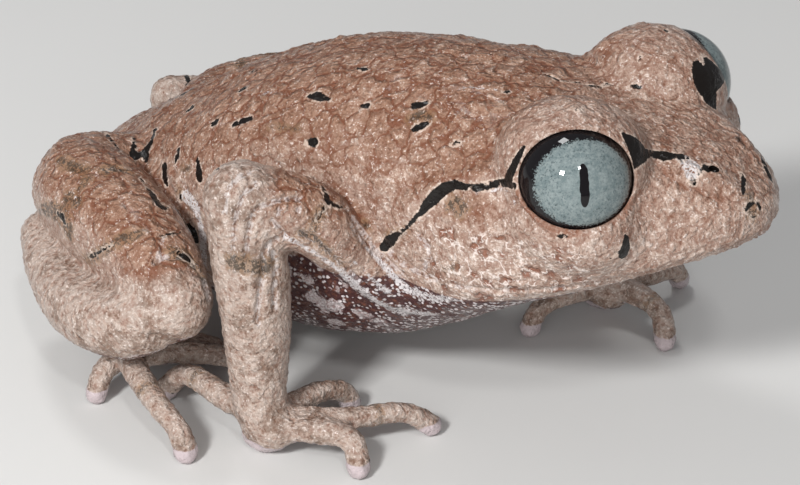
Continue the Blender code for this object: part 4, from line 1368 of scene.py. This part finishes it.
def eyeFinish(side):
    # in the ball's own measure: +Z where it looks, +Y up, radius 1
    paint = Finish("eyeLeft" if side > 0 else "eyeRight", eyeShader)
    values = {
        "Vector": paint.node("TexCoord", {}, {}, "Object"),
        "Location": (toFrame @ Matrix.Translation(eyeCentre(side))).to_translation(),
        "Rotation": turnedTo(eye, side).to_euler(),
        "Scale": (eye["radius"] * mm,) * 3,
    }
    place = paint.node("Mapping", {"vector_type": "TEXTURE"}, values)
    across, height, ahead = (paint.node("SeparateXYZ", {}, {0: place}, axis) for axis in "XYZ")
    grain = paint.noise(place, eyeDensity["grain"], 4, 0.7)
    fibre = paint.noise(place, eyeDensity["fibre"], 3, 0.6)
    tuft = paint.noise(place, eyeDensity["tuft"], 2, 0.6)
    wide = across * (1 / eye["irisWide"])
    high = height * (1 / eye["irisHigh"])
    reach = (wide * wide + high * high).root()
    colour = paint.mix(paint.step(fibre, 0.3, 0.7), eyeTones["irisDark"], eyeTones["irisLight"])
    colour = paint.mix(paint.step(grain, 0.55, 0.66) * 0.3, colour, eyeTones["thread"])
    specks = paint.step(paint.cells(place, eyeDensity["specks"]), 0.36, 0.2)
    dense = paint.step(reach, 0.2, 1.0) * 0.5 + 0.35
    dark = paint.step(grain, 0.47, 0.36) * dense + specks * paint.step(grain, 0.52, 0.44) * dense
    colour = paint.mix(dark * 0.8, colour, eyeTones["speck"])
    # all that is outside the slit and inside the iris's fringe keeps that colour
    waver = (paint.noise(place, eyeDensity["waver"], 1) - 0.5) * eye["slitWaver"]
    slitAcross = (across - eye["slitMiddle"][0] + waver) * (1 / eye["slitWide"])
    slitUp = (height - eye["slitMiddle"][1]) * (1 / eye["slitHigh"])
    slit = slitAcross * slitAcross + slitUp * slitUp * slitUp * slitUp
    fringe = reach + (tuft - 0.5) * 0.26 + (fibre - 0.5) * 0.1
    iris = paint.step(fringe, 1.02, 0.97) * paint.step(ahead, 0.0, 0.1)
    colour = paint.mix(iris * paint.step(slit, 0.9, 1.1), eyeTones["black"], colour)
    paint.feed(BaseColor=colour, Roughness=0.32 - iris * 0.02)
    return paint.material


def eyeball(side):
    bm = bmesh.new()
    ball(bm, eyeCentre(side), (eye["radius"],) * 3, turn=turnedTo(eye, side), sides=eye["sides"])
    piece = newPiece("eyeballLeft" if side > 0 else "eyeballRight", bm)
    piece.data.transform(toFrame)
    piece.data.shade_smooth()
    piece.data.materials.append(eyeFinish(side))
    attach(piece, "root")
    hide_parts("eye_left" if side > 0 else "eye_right")


# Studio

studio = {
    # lamp: place in metres, power in watts, side of its square
    "lamps": {
        "key": ((-0.01, -0.31, 0.27), 1.3, 0.06),
        "second": ((0.20, -0.23, 0.40), 0.35, 0.04),
        "front": ((0.18, -0.46, 0.07), 1.5, 0.5),
        "top": ((-0.16, 0.09, 0.36), 0.3, 0.08),
    },
    "unseen": "front",  # the broad lamp only fills the shadows, so nothing mirrors it
    "sky": (0.95, 0.96, 1.0, 1.0),
    "skyStrength": 0.25,
    "floorReach": 3.0,  # metres from its middle to its sides
    "floorTones": ((0.66, 0.655, 0.64), (0.60, 0.595, 0.58)),
    "floorPatches": 0.03,  # to the millimetre
}


def floorFinish():
    paint = Finish("floor", {"Roughness": 0.8})
    shade = paint.noise(paint.millimetres(), studio["floorPatches"], 3)
    paint.feed(BaseColor=paint.mix(shade * 0.3, *studio["floorTones"]))
    return paint.material


def addFloor():
    bm = bmesh.new()
    bmesh.ops.create_grid(bm, x_segments=1, y_segments=1, size=studio["floorReach"])
    floor = newPiece("floor", bm)
    floor.data.materials.append(floorFinish())


def addLights():
    for name, (spot, power, size) in studio["lamps"].items():
        light = bpy.data.lights.new(name, "AREA")
        light.energy = power
        light.size = size
        lamp = bpy.data.objects.new(name, light)
        lamp.location = spot
        lamp.rotation_euler = (-Vector(spot)).to_track_quat("-Z", "Y").to_euler()
        lamp.visible_glossy = name != studio["unseen"]
        bpy.context.scene.collection.objects.link(lamp)
    world = bpy.data.worlds.new("studio")
    world.use_nodes = True
    sky = world.node_tree.nodes["Background"]
    sky.inputs["Color"].default_value = studio["sky"]
    sky.inputs["Strength"].default_value = studio["skyStrength"]
    bpy.context.scene.world = world
    bpy.context.scene.view_settings.view_transform = "Standard"


skinPiece = fusedFlesh()
print("flesh fused:", len(skinPiece.data.vertices), "points")
sculpt(skinPiece)
print("skin sculpted")
cutAway(skinPiece)
thinned(skinPiece)
print("sockets and flats cut:", len(skinPiece.data.polygons), "faces")
drawMarks(skinPiece)
print("marks drawn")
skinPiece.data.transform(toFrame)
skinPiece.data.shade_smooth()
skinPiece.data.materials.clear()
skinPiece.data.materials.append(skinFinish())
skinPiece.data.polygons.foreach_set("material_index", np.zeros(len(skinPiece.data.polygons), np.int32))
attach(skinPiece, "root")
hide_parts(*[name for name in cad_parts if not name.startswith("eye")])
for side in (-1, 1):
    eyeball(side)
print("eyes made")
addCamera()
addFloor()
addLights()
print("camera, floor and lights placed")
